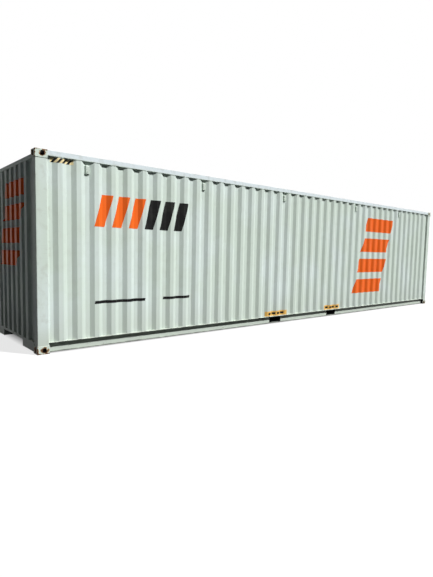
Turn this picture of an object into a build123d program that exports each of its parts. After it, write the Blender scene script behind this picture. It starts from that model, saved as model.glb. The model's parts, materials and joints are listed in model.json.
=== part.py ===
"""A forty-foot high-cube freight container, closed, in millimetres.

X runs along the length with the blind front end at -X and the doors at +X, Y across the width and Z up.
The origin is under the middle, on the plane that the four bottom corner castings stand on.
"u" is a distance measured inwards from an end of the container and "v" one measured inwards from a side.
"""

import os
from math import cos, pi, sin

from build123d import *

# Overall size
LENGTH = 12192.0
WIDTH = 2438.0
HEIGHT = 2896.0

# Corner castings
CASTING_LENGTH = 178.0
CASTING_WIDTH = 162.0
CASTING_HEIGHT = 118.0
CASTING_WALL = 16.0
CASTING_PLATE = 28.5
CASTING_CHAMFER = 4.0
APERTURE_LENGTH = 124.0
APERTURE_WIDTH = 63.5
APERTURE_FROM_END = 103.5
APERTURE_FROM_SIDE = 89.5
HAND_HOLE_HEIGHT = 79.5
SIDE_HOLE_WIDTH = 63.5
END_HOLE_WIDTH = 51.0
HAND_HOLE_LEVEL = 55.0
HAND_HOLE_STEPS = 4

# How far the steelwork stands behind the faces of the castings
FRAME_SETBACK = 5.0
PANEL_INSET = 3.0
BASE_CLEARANCE = 17.0
ROOF_CLEARANCE = 6.0

# Corner posts
POST_WALL = 6.0
FRONT_POST_SIDE = 163.0
FRONT_POST_END = 135.0
FRONT_POST_RETURN = 29.0
WELD_FLANGE = 20.0
REAR_POST_SIDE = 176.0
REAR_POST_RETURN = 32.0
REAR_POST_SETBACK = 30.0
REAR_POST_WIDTH = 76.0
REAR_POST_INNER_DEPTH = 170.0

# Side rails
TOP_RAIL_HEIGHT = 72.0
TOP_RAIL_WIDTH = 60.0
TOP_RAIL_WALL = 3.0
BOTTOM_RAIL_HEIGHT = 145.0
BOTTOM_RAIL_TOP_FLANGE = 66.0
BOTTOM_RAIL_LOWER_FLANGE = 48.0
BOTTOM_RAIL_WALL = 4.5

# Corrugated sheet of the walls
SHEET = 2.0
SIDE_DEPTH = 36.0
SIDE_OUTER_FLAT = 72.0
SIDE_INNER_FLAT = 70.0
SIDE_SLOPE = 68.0
SIDE_FIRST_FLAT = 38.0
FRONT_DEPTH = 45.6
FRONT_OUTER_FLAT = 110.0
FRONT_INNER_FLAT = 104.0
FRONT_SLOPE = 18.0

# Front end frame
HEADER_DEPTH = 60.0
HEADER_HEIGHT = 54.0
HEADER_WALL = 3.0
ROOF_FRONT_PLATE = 4.0
SILL_DEPTH = 100.0
SILL_WALL = 5.0

# Roof sheet with stamped cross ribs
ROOF_SHEET_LEVEL = 24.0
ROOF_RIB_HEIGHT = 20.0
ROOF_RIB_PITCH = 209.0
ROOF_RIB_WIDTH = 118.0
ROOF_RIB_END_MARGIN = 35.0
ROOF_RIB_DRAFT = 34.0

# Base
FLOOR_BOARD = 28.0
FLOOR_GAP = 2.0
CROSS_HEIGHT = 122.0
CROSS_FLANGE = 45.0
CROSS_WALL = 4.0
CROSS_PITCH = 305.0
CROSS_END_GAP = 150.0
FORK_SPACING = 2050.0
FORK_WIDTH = 360.0
FORK_HEIGHT = 110.0
FORK_PLATE = 6.0
FORK_ROOF = 4.0
FORK_STRAP_WIDTH = 200.0
TUNNEL_LENGTH = 3500.0
TUNNEL_WIDTH = 1029.0
TUNNEL_CLEAR_HEIGHT = 121.0
TUNNEL_PLATE = 4.0
TUNNEL_SIDE = 6.0
TUNNEL_BOW_WIDTH = 40.0

# Door opening
DOOR_SILL_TOP = 163.0
DOOR_HEADER_DROP = 148.0
DOOR_FRAME_WALL = 4.0
VISOR_REACH = 54.0
VISOR_PLATE = 4.0

# Door leaves
LEAF_SETBACK = 66.0
LEAF_THICKNESS = 50.0
LEAF_GAP = 8.0
STILE_WIDTH = 60.0
STILE_WALL = 3.2
DOOR_RAIL_HEIGHT = 120.0
DOOR_RIBS = 4
DOOR_RIB_FLAT = 100.0
DOOR_RIB_SLOPE = 25.0
GASKET_CLEARANCE = 0.3
GASKET_DEPTH = 25.0
GASKET_SETBACK = 20.0

# Hinges
HINGES = 4
HINGE_END_DISTANCE = 240.0
HINGE_PIN_RADIUS = 8.0
HINGE_KNUCKLE_RADIUS = 13.0
HINGE_PIN_STANDOFF = 14.0
HINGE_PIN_FROM_SIDE = 24.0
HINGE_BLADE_HEIGHT = 80.0
HINGE_BLADE_LENGTH = 150.0
HINGE_BLADE_PLATE = 12.0
HINGE_BLADE_CHAMFER = 20.0
HINGE_LUG_PLATE = 16.0
HINGE_PIN_HEAD = 6.0
HINGE_FACETS = 8

# Lock gear
BAR_RADIUS = 17.0
BAR_FACETS = 16
BAR_STANDOFF = 26.0
BAR_END_OVERLAP = 28.0
RUNNING_CLEARANCE = 0.3
CAM_WIDTH = 28.0
CAM_HEIGHT = 60.0
CAM_REACH = 22.0
CAM_CHAMFER = 14.0
KEEPER_PLATE = 6.0
KEEPER_CHEEK = 15.0
KEEPER_HEIGHT = 44.0
KEEPER_DEPTH = 36.0
KEEPER_CHAMFER = 9.0
GUIDE_FOOT_WIDTH = 96.0
GUIDE_FOOT_PLATE = 6.0
GUIDE_WIDTH = 56.0
GUIDE_HEIGHT = 40.0
GUIDE_CHAMFER = 12.0
GUIDE_FACETS = 10
LOWER_GUIDE_RISE = 629.0
UPPER_GUIDE_DROP = 840.0
HANDLE_LEVEL = 1180.0
HANDLE_LENGTH = 350.0
HANDLE_OVERHANG = 20.0
HANDLE_HEIGHT = 30.0
HANDLE_HUB_HEIGHT = 46.0
HANDLE_HUB_LENGTH = 26.0
HANDLE_TAPER = 60.0
HANDLE_PLATE = 10.0
HANDLE_CHAMFER = 8.0
HANDLE_LUG_WIDTH = 24.0
HANDLE_LUG_HEIGHT = 50.0
HANDLE_LUG_REACH = 24.0
CATCH_WIDTH = 50.0
CATCH_LIP = 13.0
CATCH_COVER = 3.5
CATCH_COVER_WIDTH = 20.0

# Ventilators
VENT_WIDTH = 62.0
VENT_HEIGHT = 132.0
VENT_DEPTH = 28.0
VENT_BELOW_RAIL = 54.0
VENT_TOP_SLOPE = 18.0
VENTS_FROM_FRONT = 2
VENTS_FROM_REAR = 6
VENT_STEP = 8

# Places worked out from the sizes above
FRONT = -LENGTH / 2
REAR = LENGTH / 2
SIDE = WIDTH / 2
CASTING_X = LENGTH / 2 - CASTING_LENGTH
CASTING_Y = SIDE - CASTING_WIDTH
UPPER_CASTING_Z = HEIGHT - CASTING_HEIGHT
TOP_RAIL_TOP = HEIGHT - ROOF_CLEARANCE
TOP_RAIL_BOTTOM = TOP_RAIL_TOP - TOP_RAIL_HEIGHT
TOP_RAIL_INNER_Y = SIDE - FRAME_SETBACK - TOP_RAIL_WIDTH
BOTTOM_RAIL_TOP = BASE_CLEARANCE + BOTTOM_RAIL_HEIGHT
RAIL_WEB_Y = SIDE - FRAME_SETBACK - BOTTOM_RAIL_TOP_FLANGE
SIDE_SHEET_V = FRAME_SETBACK + PANEL_INSET
FRONT_SHEET_U = FRAME_SETBACK + PANEL_INSET
SIDE_PITCH = SIDE_OUTER_FLAT + SIDE_INNER_FLAT + 2 * SIDE_SLOPE
FRONT_PITCH = FRONT_OUTER_FLAT + FRONT_INNER_FLAT + 2 * FRONT_SLOPE
SIDE_SHEET_START = FRONT + FRONT_POST_SIDE + FRONT_POST_RETURN + WELD_FLANGE
SIDE_SHEET_END = REAR - REAR_POST_SIDE - REAR_POST_RETURN
FRONT_SHEET_Y = CASTING_Y - WELD_FLANGE
FLOOR_BOTTOM = BASE_CLEARANCE + CROSS_HEIGHT
FLOOR_TOP = FLOOR_BOTTOM + FLOOR_BOARD
SILL_INNER_X = FRONT + FRONT_SHEET_U + SILL_DEPTH
TUNNEL_END_X = FRONT + TUNNEL_LENGTH
TUNNEL_Y = TUNNEL_WIDTH / 2
TUNNEL_OUTER_Y = TUNNEL_Y + TUNNEL_SIDE
FORK_TOP = FLOOR_BOTTOM - FORK_ROOF
FORK_BOTTOM = FORK_TOP - FORK_HEIGHT
ROOF_SHEET_TOP = TOP_RAIL_TOP - ROOF_SHEET_LEVEL + SHEET
HEADER_TOP = UPPER_CASTING_Z + HEADER_HEIGHT
DOOR_TOP = HEIGHT - DOOR_HEADER_DROP
LEAF_X = REAR - LEAF_SETBACK
POST_REAR_X = REAR - REAR_POST_SETBACK
POST_INNER_Y = SIDE - REAR_POST_WIDTH
LEAF_IN = LEAF_GAP
LEAF_OUT = POST_INNER_Y - LEAF_GAP
LEAF_BOTTOM = DOOR_SILL_TOP + LEAF_GAP
LEAF_TOP = DOOR_TOP - LEAF_GAP
PANEL_IN = LEAF_IN + STILE_WIDTH
PANEL_OUT = LEAF_OUT - STILE_WIDTH
DOOR_PITCH = (PANEL_OUT - PANEL_IN) / DOOR_RIBS
BAR_X = LEAF_X + BAR_STANDOFF
BAR_YS = (PANEL_IN + DOOR_PITCH / 2, PANEL_OUT - 1.5 * DOOR_PITCH)
HANDLE_X = BAR_X + HANDLE_LUG_REACH
PIN_X = POST_REAR_X + HINGE_PIN_STANDOFF
PIN_Y = SIDE - HINGE_PIN_FROM_SIDE

AXES = {
    "x": (Plane.YZ, Vector(1, 0, 0)),
    "y": (Plane.XZ, Vector(0, 1, 0)),
    "z": (Plane.XY, Vector(0, 0, 1)),
}


def outline(points):
    """A flat face bounded by straight lines through the points."""
    return make_face(Polyline(*points, close=True))


def rectangle(low_a, high_a, low_b, high_b):
    """A flat rectangle between two values on each of its axes."""
    return outline([(low_a, low_b), (high_a, low_b), (high_a, high_b), (low_a, high_b)])


def hollow(face, wall):
    """The ring that is left of a face once a wall's thickness is kept all round."""
    return face - offset(face, -wall, kind=Kind.INTERSECTION)


def bent_sheet(points, thickness, side):
    """The section of a sheet of even thickness, laid on one side of a bent line."""
    line = Polyline(*points)
    return make_face(offset(line, thickness, side=side, kind=Kind.INTERSECTION).edges())


def upright_oval(width, height, steps):
    """An oval with straight sides, its round ends drawn in a few straight steps each."""
    top = [(width / 2 * cos(pi * k / steps), width / 2 * sin(pi * k / steps)) for k in range(steps + 1)]
    rise = (height - width) / 2
    return outline([(a, b + rise) for a, b in top] + [(-a, -b - rise) for a, b in top])


def run(axis, face, low, high):
    """A straight member: a section carried along an axis from low to high.

    Sections along x are drawn in (y, z), along y in (x, z) and along z in (x, y).
    """
    plane, direction = AXES[axis]
    return extrude(Pos(direction * low) * (plane * face), amount=high - low, dir=direction)


def block(low, high):
    """A box between two opposite corners."""
    size = [b - a for a, b in zip(low, high)]
    middle = [(a + b) / 2 for a, b in zip(low, high)]
    return Pos(*middle) * Box(*size)


def both_sides(solid):
    """A solid of the right side and its mirror image on the left."""
    return [mirror(solid, about=Plane.XZ), solid]


def corrugation(length, first_flat, outer_flat, inner_flat, slope, depth, count):
    """Points of a trapezoid corrugation: distance along the sheet, and depth behind its outer flats."""
    points = [(0.0, depth)]
    at = first_flat
    for _ in range(count):
        points.append((at, depth))
        points.append((at + slope, 0.0))
        points.append((at + slope + outer_flat, 0.0))
        points.append((at + 2 * slope + outer_flat, depth))
        at += 2 * slope + outer_flat + inner_flat
    points.append((length, depth))
    return points


def corner_casting():
    """The rear right lower casting: a hollow box with a twistlock aperture below and two hand holes."""
    body = block((CASTING_X, CASTING_Y, 0), (REAR, SIDE, CASTING_HEIGHT))
    body = chamfer(body.edges(), CASTING_CHAMFER)
    body -= block(
        (CASTING_X + CASTING_WALL, CASTING_Y + CASTING_WALL, CASTING_PLATE),
        (REAR - CASTING_WALL, SIDE - CASTING_WALL, CASTING_HEIGHT - CASTING_WALL),
    )
    centre_x = REAR - APERTURE_FROM_END
    centre_y = SIDE - APERTURE_FROM_SIDE
    slot = Pos(centre_x, centre_y) * SlotOverall(APERTURE_LENGTH, APERTURE_WIDTH)
    body -= run("z", slot, 0, CASTING_PLATE)
    side_hole = Pos(centre_x, HAND_HOLE_LEVEL) * upright_oval(
        SIDE_HOLE_WIDTH, HAND_HOLE_HEIGHT, HAND_HOLE_STEPS
    )
    body -= run("y", side_hole, SIDE - CASTING_WALL, SIDE)
    end_hole = Pos(centre_y, HAND_HOLE_LEVEL) * upright_oval(END_HOLE_WIDTH, HAND_HOLE_HEIGHT, HAND_HOLE_STEPS)
    body -= run("x", end_hole, REAR - CASTING_WALL, REAR)
    return body


def front_post():
    """The front right post: one plate bent round the corner, with slanted returns to the two walls."""
    side_v = SIDE_SHEET_V + SIDE_DEPTH
    end_u = FRONT_SHEET_U + FRONT_DEPTH
    side_end = FRONT_POST_SIDE + FRONT_POST_RETURN
    chain = [
        (side_end + WELD_FLANGE, side_v),
        (side_end, side_v),
        (FRONT_POST_SIDE, FRAME_SETBACK),
        (FRAME_SETBACK, FRAME_SETBACK),
        (FRAME_SETBACK, FRONT_POST_END),
        (end_u, CASTING_WIDTH),
        (end_u, CASTING_WIDTH + WELD_FLANGE),
    ]
    section = bent_sheet([(FRONT + u, SIDE - v) for u, v in chain], POST_WALL, Side.LEFT)
    post = run("z", section, CASTING_HEIGHT, TOP_RAIL_BOTTOM)
    return notched(post, FRONT, -CASTING_X)


def notched(post, low_x, high_x):
    """A post cut away for the casting above it, and for the side rail and the sill beside its foot."""
    post -= block((low_x, 0, UPPER_CASTING_Z), (high_x, SIDE, HEIGHT))
    post -= block((-CASTING_X, 0, 0), (CASTING_X, SIDE, BOTTOM_RAIL_TOP))
    return post - block((low_x, 0, 0), (high_x, CASTING_Y, BOTTOM_RAIL_TOP))


def rear_post():
    """The rear right post: a closed welded section that carries the hinges."""
    side_v = SIDE_SHEET_V + SIDE_DEPTH
    side_end = REAR_POST_SIDE + REAR_POST_RETURN
    chain = [
        (REAR_POST_SETBACK, FRAME_SETBACK),
        (REAR_POST_SIDE, FRAME_SETBACK),
        (side_end, side_v),
        (side_end, side_v + POST_WALL),
        (REAR_POST_INNER_DEPTH, REAR_POST_WIDTH),
        (REAR_POST_SETBACK, REAR_POST_WIDTH),
    ]
    section = hollow(outline([(REAR - u, SIDE - v) for u, v in chain]), POST_WALL)
    post = run("z", section, CASTING_HEIGHT, TOP_RAIL_BOTTOM)
    return notched(post, CASTING_X, REAR)


def top_side_rail():
    """The right top side rail, a tube between the castings."""
    section = rectangle(TOP_RAIL_INNER_Y, SIDE - FRAME_SETBACK, TOP_RAIL_BOTTOM, TOP_RAIL_TOP)
    return run("x", hollow(section, TOP_RAIL_WALL), -CASTING_X, CASTING_X)


def bottom_side_rail():
    """The right bottom side rail: a channel that opens outwards, with the fork openings in its web."""
    chain = [
        (SIDE - FRAME_SETBACK, BOTTOM_RAIL_TOP),
        (RAIL_WEB_Y, BOTTOM_RAIL_TOP),
        (RAIL_WEB_Y, BASE_CLEARANCE),
        (RAIL_WEB_Y + BOTTOM_RAIL_LOWER_FLANGE, BASE_CLEARANCE),
    ]
    rail = run("x", bent_sheet(chain, BOTTOM_RAIL_WALL, Side.LEFT), -CASTING_X, CASTING_X)
    for middle in (-FORK_SPACING / 2, FORK_SPACING / 2):
        low_x, high_x = middle - FORK_WIDTH / 2, middle + FORK_WIDTH / 2
        rail -= block((low_x, 0, FORK_BOTTOM), (high_x, SIDE, FORK_TOP))
    return rail


def side_corrugations():
    """How many whole corrugations fit on a side wall."""
    return int((SIDE_SHEET_END - SIDE_SHEET_START - SIDE_FIRST_FLAT) // SIDE_PITCH)


def side_wall():
    """The right side wall: one corrugated sheet from post to post and rail to rail."""
    length = SIDE_SHEET_END - SIDE_SHEET_START
    count = side_corrugations()
    points = corrugation(
        length, SIDE_FIRST_FLAT, SIDE_OUTER_FLAT, SIDE_INNER_FLAT, SIDE_SLOPE, SIDE_DEPTH, count
    )
    line = [(SIDE_SHEET_START + along, SIDE - SIDE_SHEET_V - deep) for along, deep in points]
    return run("z", bent_sheet(line, SHEET, Side.RIGHT), BOTTOM_RAIL_TOP, TOP_RAIL_BOTTOM)


def front_wall():
    """The front wall: a deeper corrugated sheet, the same from the middle to both posts."""
    length = 2 * FRONT_SHEET_Y
    count = int((length - FRONT_INNER_FLAT) // FRONT_PITCH)
    first_flat = (length - count * FRONT_PITCH + FRONT_INNER_FLAT) / 2
    points = corrugation(
        length, first_flat, FRONT_OUTER_FLAT, FRONT_INNER_FLAT, FRONT_SLOPE, FRONT_DEPTH, count
    )
    line = [(FRONT + FRONT_SHEET_U + deep, along - FRONT_SHEET_Y) for along, deep in points]
    return run("z", bent_sheet(line, SHEET, Side.RIGHT), BOTTOM_RAIL_TOP, UPPER_CASTING_Z)


def front_header():
    """The tube between the two front upper castings."""
    low_x = FRONT + FRONT_SHEET_U
    section = rectangle(low_x, low_x + HEADER_DEPTH, UPPER_CASTING_Z, HEADER_TOP)
    return run("y", hollow(section, HEADER_WALL), -CASTING_Y, CASTING_Y)


def roof_front_plate():
    """The bent plate that closes the step from the front header up to the roof sheet."""
    chain = [
        (FRONT + FRONT_SHEET_U, HEADER_TOP),
        (FRONT + FRONT_SHEET_U + HEADER_DEPTH, HEADER_TOP),
        (-CASTING_X, ROOF_SHEET_TOP - ROOF_FRONT_PLATE),
    ]
    upper = [(x, z + ROOF_FRONT_PLATE) for x, z in reversed(chain)]
    return run("y", outline(chain + upper), -CASTING_Y, CASTING_Y)


def front_sill():
    """The box section under the front wall, bridged over the gooseneck tunnel."""
    low_x, high_x = FRONT + FRONT_SHEET_U, SILL_INNER_X
    ring = hollow(rectangle(low_x, high_x, BASE_CLEARANCE, BOTTOM_RAIL_TOP), SILL_WALL)
    sill = run("y", ring, -CASTING_Y, CASTING_Y)
    sill -= block((low_x, -TUNNEL_Y, 0), (high_x, TUNNEL_Y, TUNNEL_CLEAR_HEIGHT))
    ceiling = TUNNEL_CLEAR_HEIGHT + TUNNEL_PLATE
    sill += block((low_x, -TUNNEL_OUTER_Y, TUNNEL_CLEAR_HEIGHT), (high_x, TUNNEL_OUTER_Y, ceiling))
    for cheek in both_sides(block((low_x, TUNNEL_Y, BASE_CLEARANCE), (high_x, TUNNEL_OUTER_Y, ceiling))):
        sill += cheek
    return sill


def roof():
    """The roof sheet between the top rails, stamped with a row of drafted cross ribs."""
    sheet_bottom = ROOF_SHEET_TOP - SHEET
    sheet = block(
        (-CASTING_X, -TOP_RAIL_INNER_Y, sheet_bottom), (CASTING_X, TOP_RAIL_INNER_Y, ROOF_SHEET_TOP)
    )
    count = int((2 * CASTING_X - ROOF_RIB_PITCH) // ROOF_RIB_PITCH)
    rib_length = 2 * (TOP_RAIL_INNER_Y - ROOF_RIB_END_MARGIN)
    places = [((k - (count - 1) / 2) * ROOF_RIB_PITCH, 0) for k in range(count)]
    inner_width = ROOF_RIB_WIDTH - 2 * SHEET
    inner_length = rib_length - 2 * SHEET
    foot = [Pos(x, y, ROOF_SHEET_TOP) * Rectangle(ROOF_RIB_WIDTH, rib_length) for x, y in places]
    hole = [Pos(x, y, sheet_bottom) * Rectangle(inner_width, inner_length) for x, y in places]
    sheet += [extrude(face, amount=ROOF_RIB_HEIGHT, taper=ROOF_RIB_DRAFT) for face in foot]
    sheet -= [extrude(face, amount=ROOF_RIB_HEIGHT, taper=ROOF_RIB_DRAFT) for face in hole]
    return sheet


def floor():
    """The board floor on the cross members, between the rails and from sill to sill."""
    inner_y = RAIL_WEB_Y - FLOOR_GAP
    return block(
        (SILL_INNER_X + FLOOR_GAP, -inner_y, FLOOR_BOTTOM), (CASTING_X - FLOOR_GAP, inner_y, FLOOR_TOP)
    )


def cross_member_places():
    """Where the cross members stand along the base, clear of the fork pockets and the tunnel's end."""
    low, high = SILL_INNER_X + CROSS_END_GAP, CASTING_X - CROSS_END_GAP
    count = round((high - low) / CROSS_PITCH)
    places = [low + k * (high - low) / count for k in range(count + 1)]
    pocket_reach = FORK_WIDTH / 2 + FORK_PLATE + CROSS_FLANGE
    clear = [x for x in places if abs(abs(x) - FORK_SPACING / 2) > pocket_reach]
    return [x for x in clear if not TUNNEL_END_X - CROSS_FLANGE < x < TUNNEL_END_X + 2 * CROSS_FLANGE]


def cross_members():
    """Channels across the base, in two short lengths beside the gooseneck tunnel."""
    chain = [
        (CROSS_FLANGE, FLOOR_BOTTOM),
        (0, FLOOR_BOTTOM),
        (0, BASE_CLEARANCE),
        (CROSS_FLANGE, BASE_CLEARANCE),
    ]
    section = bent_sheet(chain, CROSS_WALL, Side.LEFT)
    whole = run("y", section, -RAIL_WEB_Y, RAIL_WEB_Y)
    halves = both_sides(run("y", section, TUNNEL_OUTER_Y, RAIL_WEB_Y))
    members = [Pos(TUNNEL_END_X, 0, 0) * whole]
    for x in cross_member_places():
        members += [Pos(x, 0, 0) * piece for piece in (halves if x < TUNNEL_END_X else [whole])]
    return members


def tunnel_plate():
    """The ceiling of the gooseneck tunnel, with flat bows on it that carry the floor."""
    ceiling = TUNNEL_CLEAR_HEIGHT + TUNNEL_PLATE
    plate = block((SILL_INNER_X, -TUNNEL_Y, TUNNEL_CLEAR_HEIGHT), (TUNNEL_END_X, TUNNEL_Y, ceiling))
    for x in cross_member_places():
        if x < TUNNEL_END_X:
            plate += block((x, -TUNNEL_Y, ceiling), (x + TUNNEL_BOW_WIDTH, TUNNEL_Y, FLOOR_BOTTOM))
    return plate


def tunnel_sides():
    """The two upright plates along the gooseneck tunnel."""
    return both_sides(
        block((SILL_INNER_X, TUNNEL_Y, BASE_CLEARANCE), (TUNNEL_END_X, TUNNEL_OUTER_Y, FLOOR_BOTTOM))
    )


def fork_pocket(middle):
    """A steel duct across the base for one fork, strapped below at both mouths."""
    inner, outer = FORK_WIDTH / 2, FORK_WIDTH / 2 + FORK_PLATE
    strap_bottom = FORK_BOTTOM - FORK_PLATE
    duct = rectangle(middle - outer, middle + outer, strap_bottom, FLOOR_BOTTOM)
    duct -= rectangle(middle - inner, middle + inner, strap_bottom, FORK_TOP)
    pocket = run("y", duct, -RAIL_WEB_Y, RAIL_WEB_Y)
    strap = block(
        (middle - inner, RAIL_WEB_Y - FORK_STRAP_WIDTH, strap_bottom), (middle + inner, RAIL_WEB_Y, FORK_BOTTOM)
    )
    for piece in both_sides(strap):
        pocket += piece
    return pocket


def door_header():
    """The box section over the doors, with a rain visor along its top edge."""
    section = hollow(rectangle(CASTING_X, LEAF_X, DOOR_TOP, TOP_RAIL_TOP), DOOR_FRAME_WALL)
    header = run("y", section, -CASTING_Y, CASTING_Y)
    visor = rectangle(LEAF_X, LEAF_X + VISOR_REACH, TOP_RAIL_TOP - VISOR_PLATE, TOP_RAIL_TOP)
    header += run("y", visor, -CASTING_Y, CASTING_Y)
    lower = hollow(rectangle(CASTING_X, LEAF_X, DOOR_TOP, UPPER_CASTING_Z), DOOR_FRAME_WALL)
    for end in both_sides(run("y", lower, CASTING_Y, POST_INNER_Y)):
        header += end
    return header


def door_sill():
    """The box section under the doors, wider above the castings than between them."""
    section = hollow(rectangle(CASTING_X, LEAF_X, BASE_CLEARANCE, DOOR_SILL_TOP), DOOR_FRAME_WALL)
    sill = run("y", section, -CASTING_Y, CASTING_Y)
    upper = hollow(rectangle(CASTING_X, LEAF_X, CASTING_HEIGHT, DOOR_SILL_TOP), DOOR_FRAME_WALL)
    for end in both_sides(run("y", upper, CASTING_Y, POST_INNER_Y)):
        sill += end
    return sill


def door_frame():
    """The frame of the right door leaf: two tube stiles and two channel rails."""
    back_x = LEAF_X - LEAF_THICKNESS
    stile = hollow(rectangle(back_x, LEAF_X, LEAF_IN, PANEL_IN), STILE_WALL)
    frame = run("z", stile, LEAF_BOTTOM, LEAF_TOP)
    frame += Pos(0, PANEL_OUT - LEAF_IN, 0) * frame
    for low_z in (LEAF_BOTTOM, LEAF_TOP - DOOR_RAIL_HEIGHT):
        chain = [
            (back_x, low_z + DOOR_RAIL_HEIGHT),
            (LEAF_X, low_z + DOOR_RAIL_HEIGHT),
            (LEAF_X, low_z),
            (back_x, low_z),
        ]
        frame += run("y", bent_sheet(chain, STILE_WALL, Side.RIGHT), PANEL_IN, PANEL_OUT)
    return frame


def door_panel():
    """The corrugated sheet of the right door leaf, its outer flats flush with the frame."""
    inner_flat = DOOR_PITCH - DOOR_RIB_FLAT - 2 * DOOR_RIB_SLOPE
    points = corrugation(
        PANEL_OUT - PANEL_IN, inner_flat / 2, DOOR_RIB_FLAT, inner_flat, DOOR_RIB_SLOPE, SIDE_DEPTH, DOOR_RIBS
    )
    line = [(LEAF_X - deep, PANEL_IN + along) for along, deep in points]
    section = bent_sheet(line, SHEET, Side.LEFT)
    return run("z", section, LEAF_BOTTOM + DOOR_RAIL_HEIGHT, LEAF_TOP - DOOR_RAIL_HEIGHT)


def door_gasket():
    """The rubber seal round the right door leaf, just short of the frame that it seals against."""
    leaf = rectangle(LEAF_IN, LEAF_OUT, LEAF_BOTTOM, LEAF_TOP)
    seal = offset(leaf, LEAF_GAP - GASKET_CLEARANCE, kind=Kind.INTERSECTION) - leaf
    front_x = LEAF_X - GASKET_SETBACK
    return run("x", seal, front_x - GASKET_DEPTH, front_x)


def hinge_levels():
    """Heights of the middles of the hinges on a leaf."""
    low, high = LEAF_BOTTOM + HINGE_END_DISTANCE, LEAF_TOP - HINGE_END_DISTANCE
    return [low + k * (high - low) / (HINGES - 1) for k in range(HINGES)]


def pin_section(radius):
    """A round section about the hinge pins in flat facets outside the radius, one of them towards the post."""
    turn = 180 / HINGE_FACETS
    return Pos(PIN_X, PIN_Y) * RegularPolygon(radius, HINGE_FACETS, major_radius=False, rotation=turn)


def hinge_blades():
    """Cranked straps that lie on the right leaf and reach over the post to the hinge pins."""
    seat_x = POST_REAR_X + RUNNING_CLEARANCE
    start_y = LEAF_OUT - HINGE_BLADE_LENGTH
    crank_y = LEAF_OUT - STILE_WIDTH / 2
    chain = [(LEAF_X, start_y), (LEAF_X, crank_y), (seat_x, POST_INNER_Y), (seat_x, PIN_Y)]
    section = bent_sheet(chain, HINGE_BLADE_PLATE, Side.RIGHT)
    section += pin_section(HINGE_KNUCKLE_RADIUS)
    section -= pin_section(HINGE_PIN_RADIUS + RUNNING_CLEARANCE)
    half = HINGE_BLADE_HEIGHT / 2
    blade = run("z", section, -half, half)
    tail_corners = blade.edges().filter_by(Axis.X).group_by(Axis.Y)[0]
    blade = chamfer(tail_corners, HINGE_BLADE_CHAMFER)
    return [Pos(0, 0, level) * blade for level in hinge_levels()]


def hinge_lugs():
    """Pairs of lugs on the right rear post, above and below each hinge blade."""
    section = rectangle(POST_REAR_X, PIN_X, PIN_Y - HINGE_KNUCKLE_RADIUS, PIN_Y + HINGE_KNUCKLE_RADIUS)
    section += pin_section(HINGE_KNUCKLE_RADIUS)
    section -= pin_section(HINGE_PIN_RADIUS + RUNNING_CLEARANCE)
    near = HINGE_BLADE_HEIGHT / 2 + RUNNING_CLEARANCE
    lugs = []
    for level in hinge_levels():
        lugs.append(run("z", section, level + near, level + near + HINGE_LUG_PLATE))
        lugs.append(run("z", section, level - near - HINGE_LUG_PLATE, level - near))
    return lugs


def hinge_pins():
    """Headed pins through the right hinges."""
    reach = HINGE_BLADE_HEIGHT / 2 + RUNNING_CLEARANCE + HINGE_LUG_PLATE
    shank = pin_section(HINGE_PIN_RADIUS)
    head = pin_section(HINGE_KNUCKLE_RADIUS)
    return [
        run("z", shank, level - reach - HINGE_PIN_HEAD, level + reach)
        + run("z", head, level + reach, level + reach + HINGE_PIN_HEAD)
        for level in hinge_levels()
    ]


def bar_ends():
    """Heights where a lock bar's round part ends, below and above."""
    low = LEAF_BOTTOM - LEAF_GAP - BAR_END_OVERLAP
    high = LEAF_TOP + LEAF_GAP + BAR_END_OVERLAP
    return low, high


def lock_bar(y):
    """A lock bar with a cam at each end and the lug that carries its handle."""
    low, high = bar_ends()
    bar = run("z", Pos(BAR_X, y) * RegularPolygon(BAR_RADIUS, BAR_FACETS), low, high)
    for bottom in (low - CAM_HEIGHT, high):
        cam = rectangle(LEAF_X + KEEPER_PLATE + RUNNING_CLEARANCE, BAR_X + CAM_REACH, bottom, bottom + CAM_HEIGHT)
        cam = chamfer(cam.vertices().group_by(Axis.X)[-1], CAM_CHAMFER)
        bar += run("y", cam, y - CAM_WIDTH / 2, y + CAM_WIDTH / 2)
    lug = rectangle(BAR_X, HANDLE_X, y - HANDLE_LUG_WIDTH / 2, y + HANDLE_LUG_WIDTH / 2)
    half = HANDLE_LUG_HEIGHT / 2
    return bar + run("z", lug, HANDLE_LEVEL - half, HANDLE_LEVEL + half)


def cam_keepers():
    """Forked brackets on the header and the sill that hold the cams of the right leaf's lock bars."""
    low, high = bar_ends()
    near = CAM_WIDTH / 2 + RUNNING_CLEARANCE
    margin = (CAM_HEIGHT - KEEPER_HEIGHT) / 2
    keepers = []
    for y in BAR_YS:
        section = rectangle(LEAF_X, LEAF_X + KEEPER_DEPTH, y - near - KEEPER_CHEEK, y + near + KEEPER_CHEEK)
        section = chamfer(section.vertices().group_by(Axis.X)[-1], KEEPER_CHAMFER)
        section -= rectangle(LEAF_X + KEEPER_PLATE, LEAF_X + KEEPER_DEPTH, y - near, y + near)
        for bottom in (low - CAM_HEIGHT + margin, high + margin):
            keepers.append(run("z", section, bottom, bottom + KEEPER_HEIGHT))
    return keepers


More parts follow.
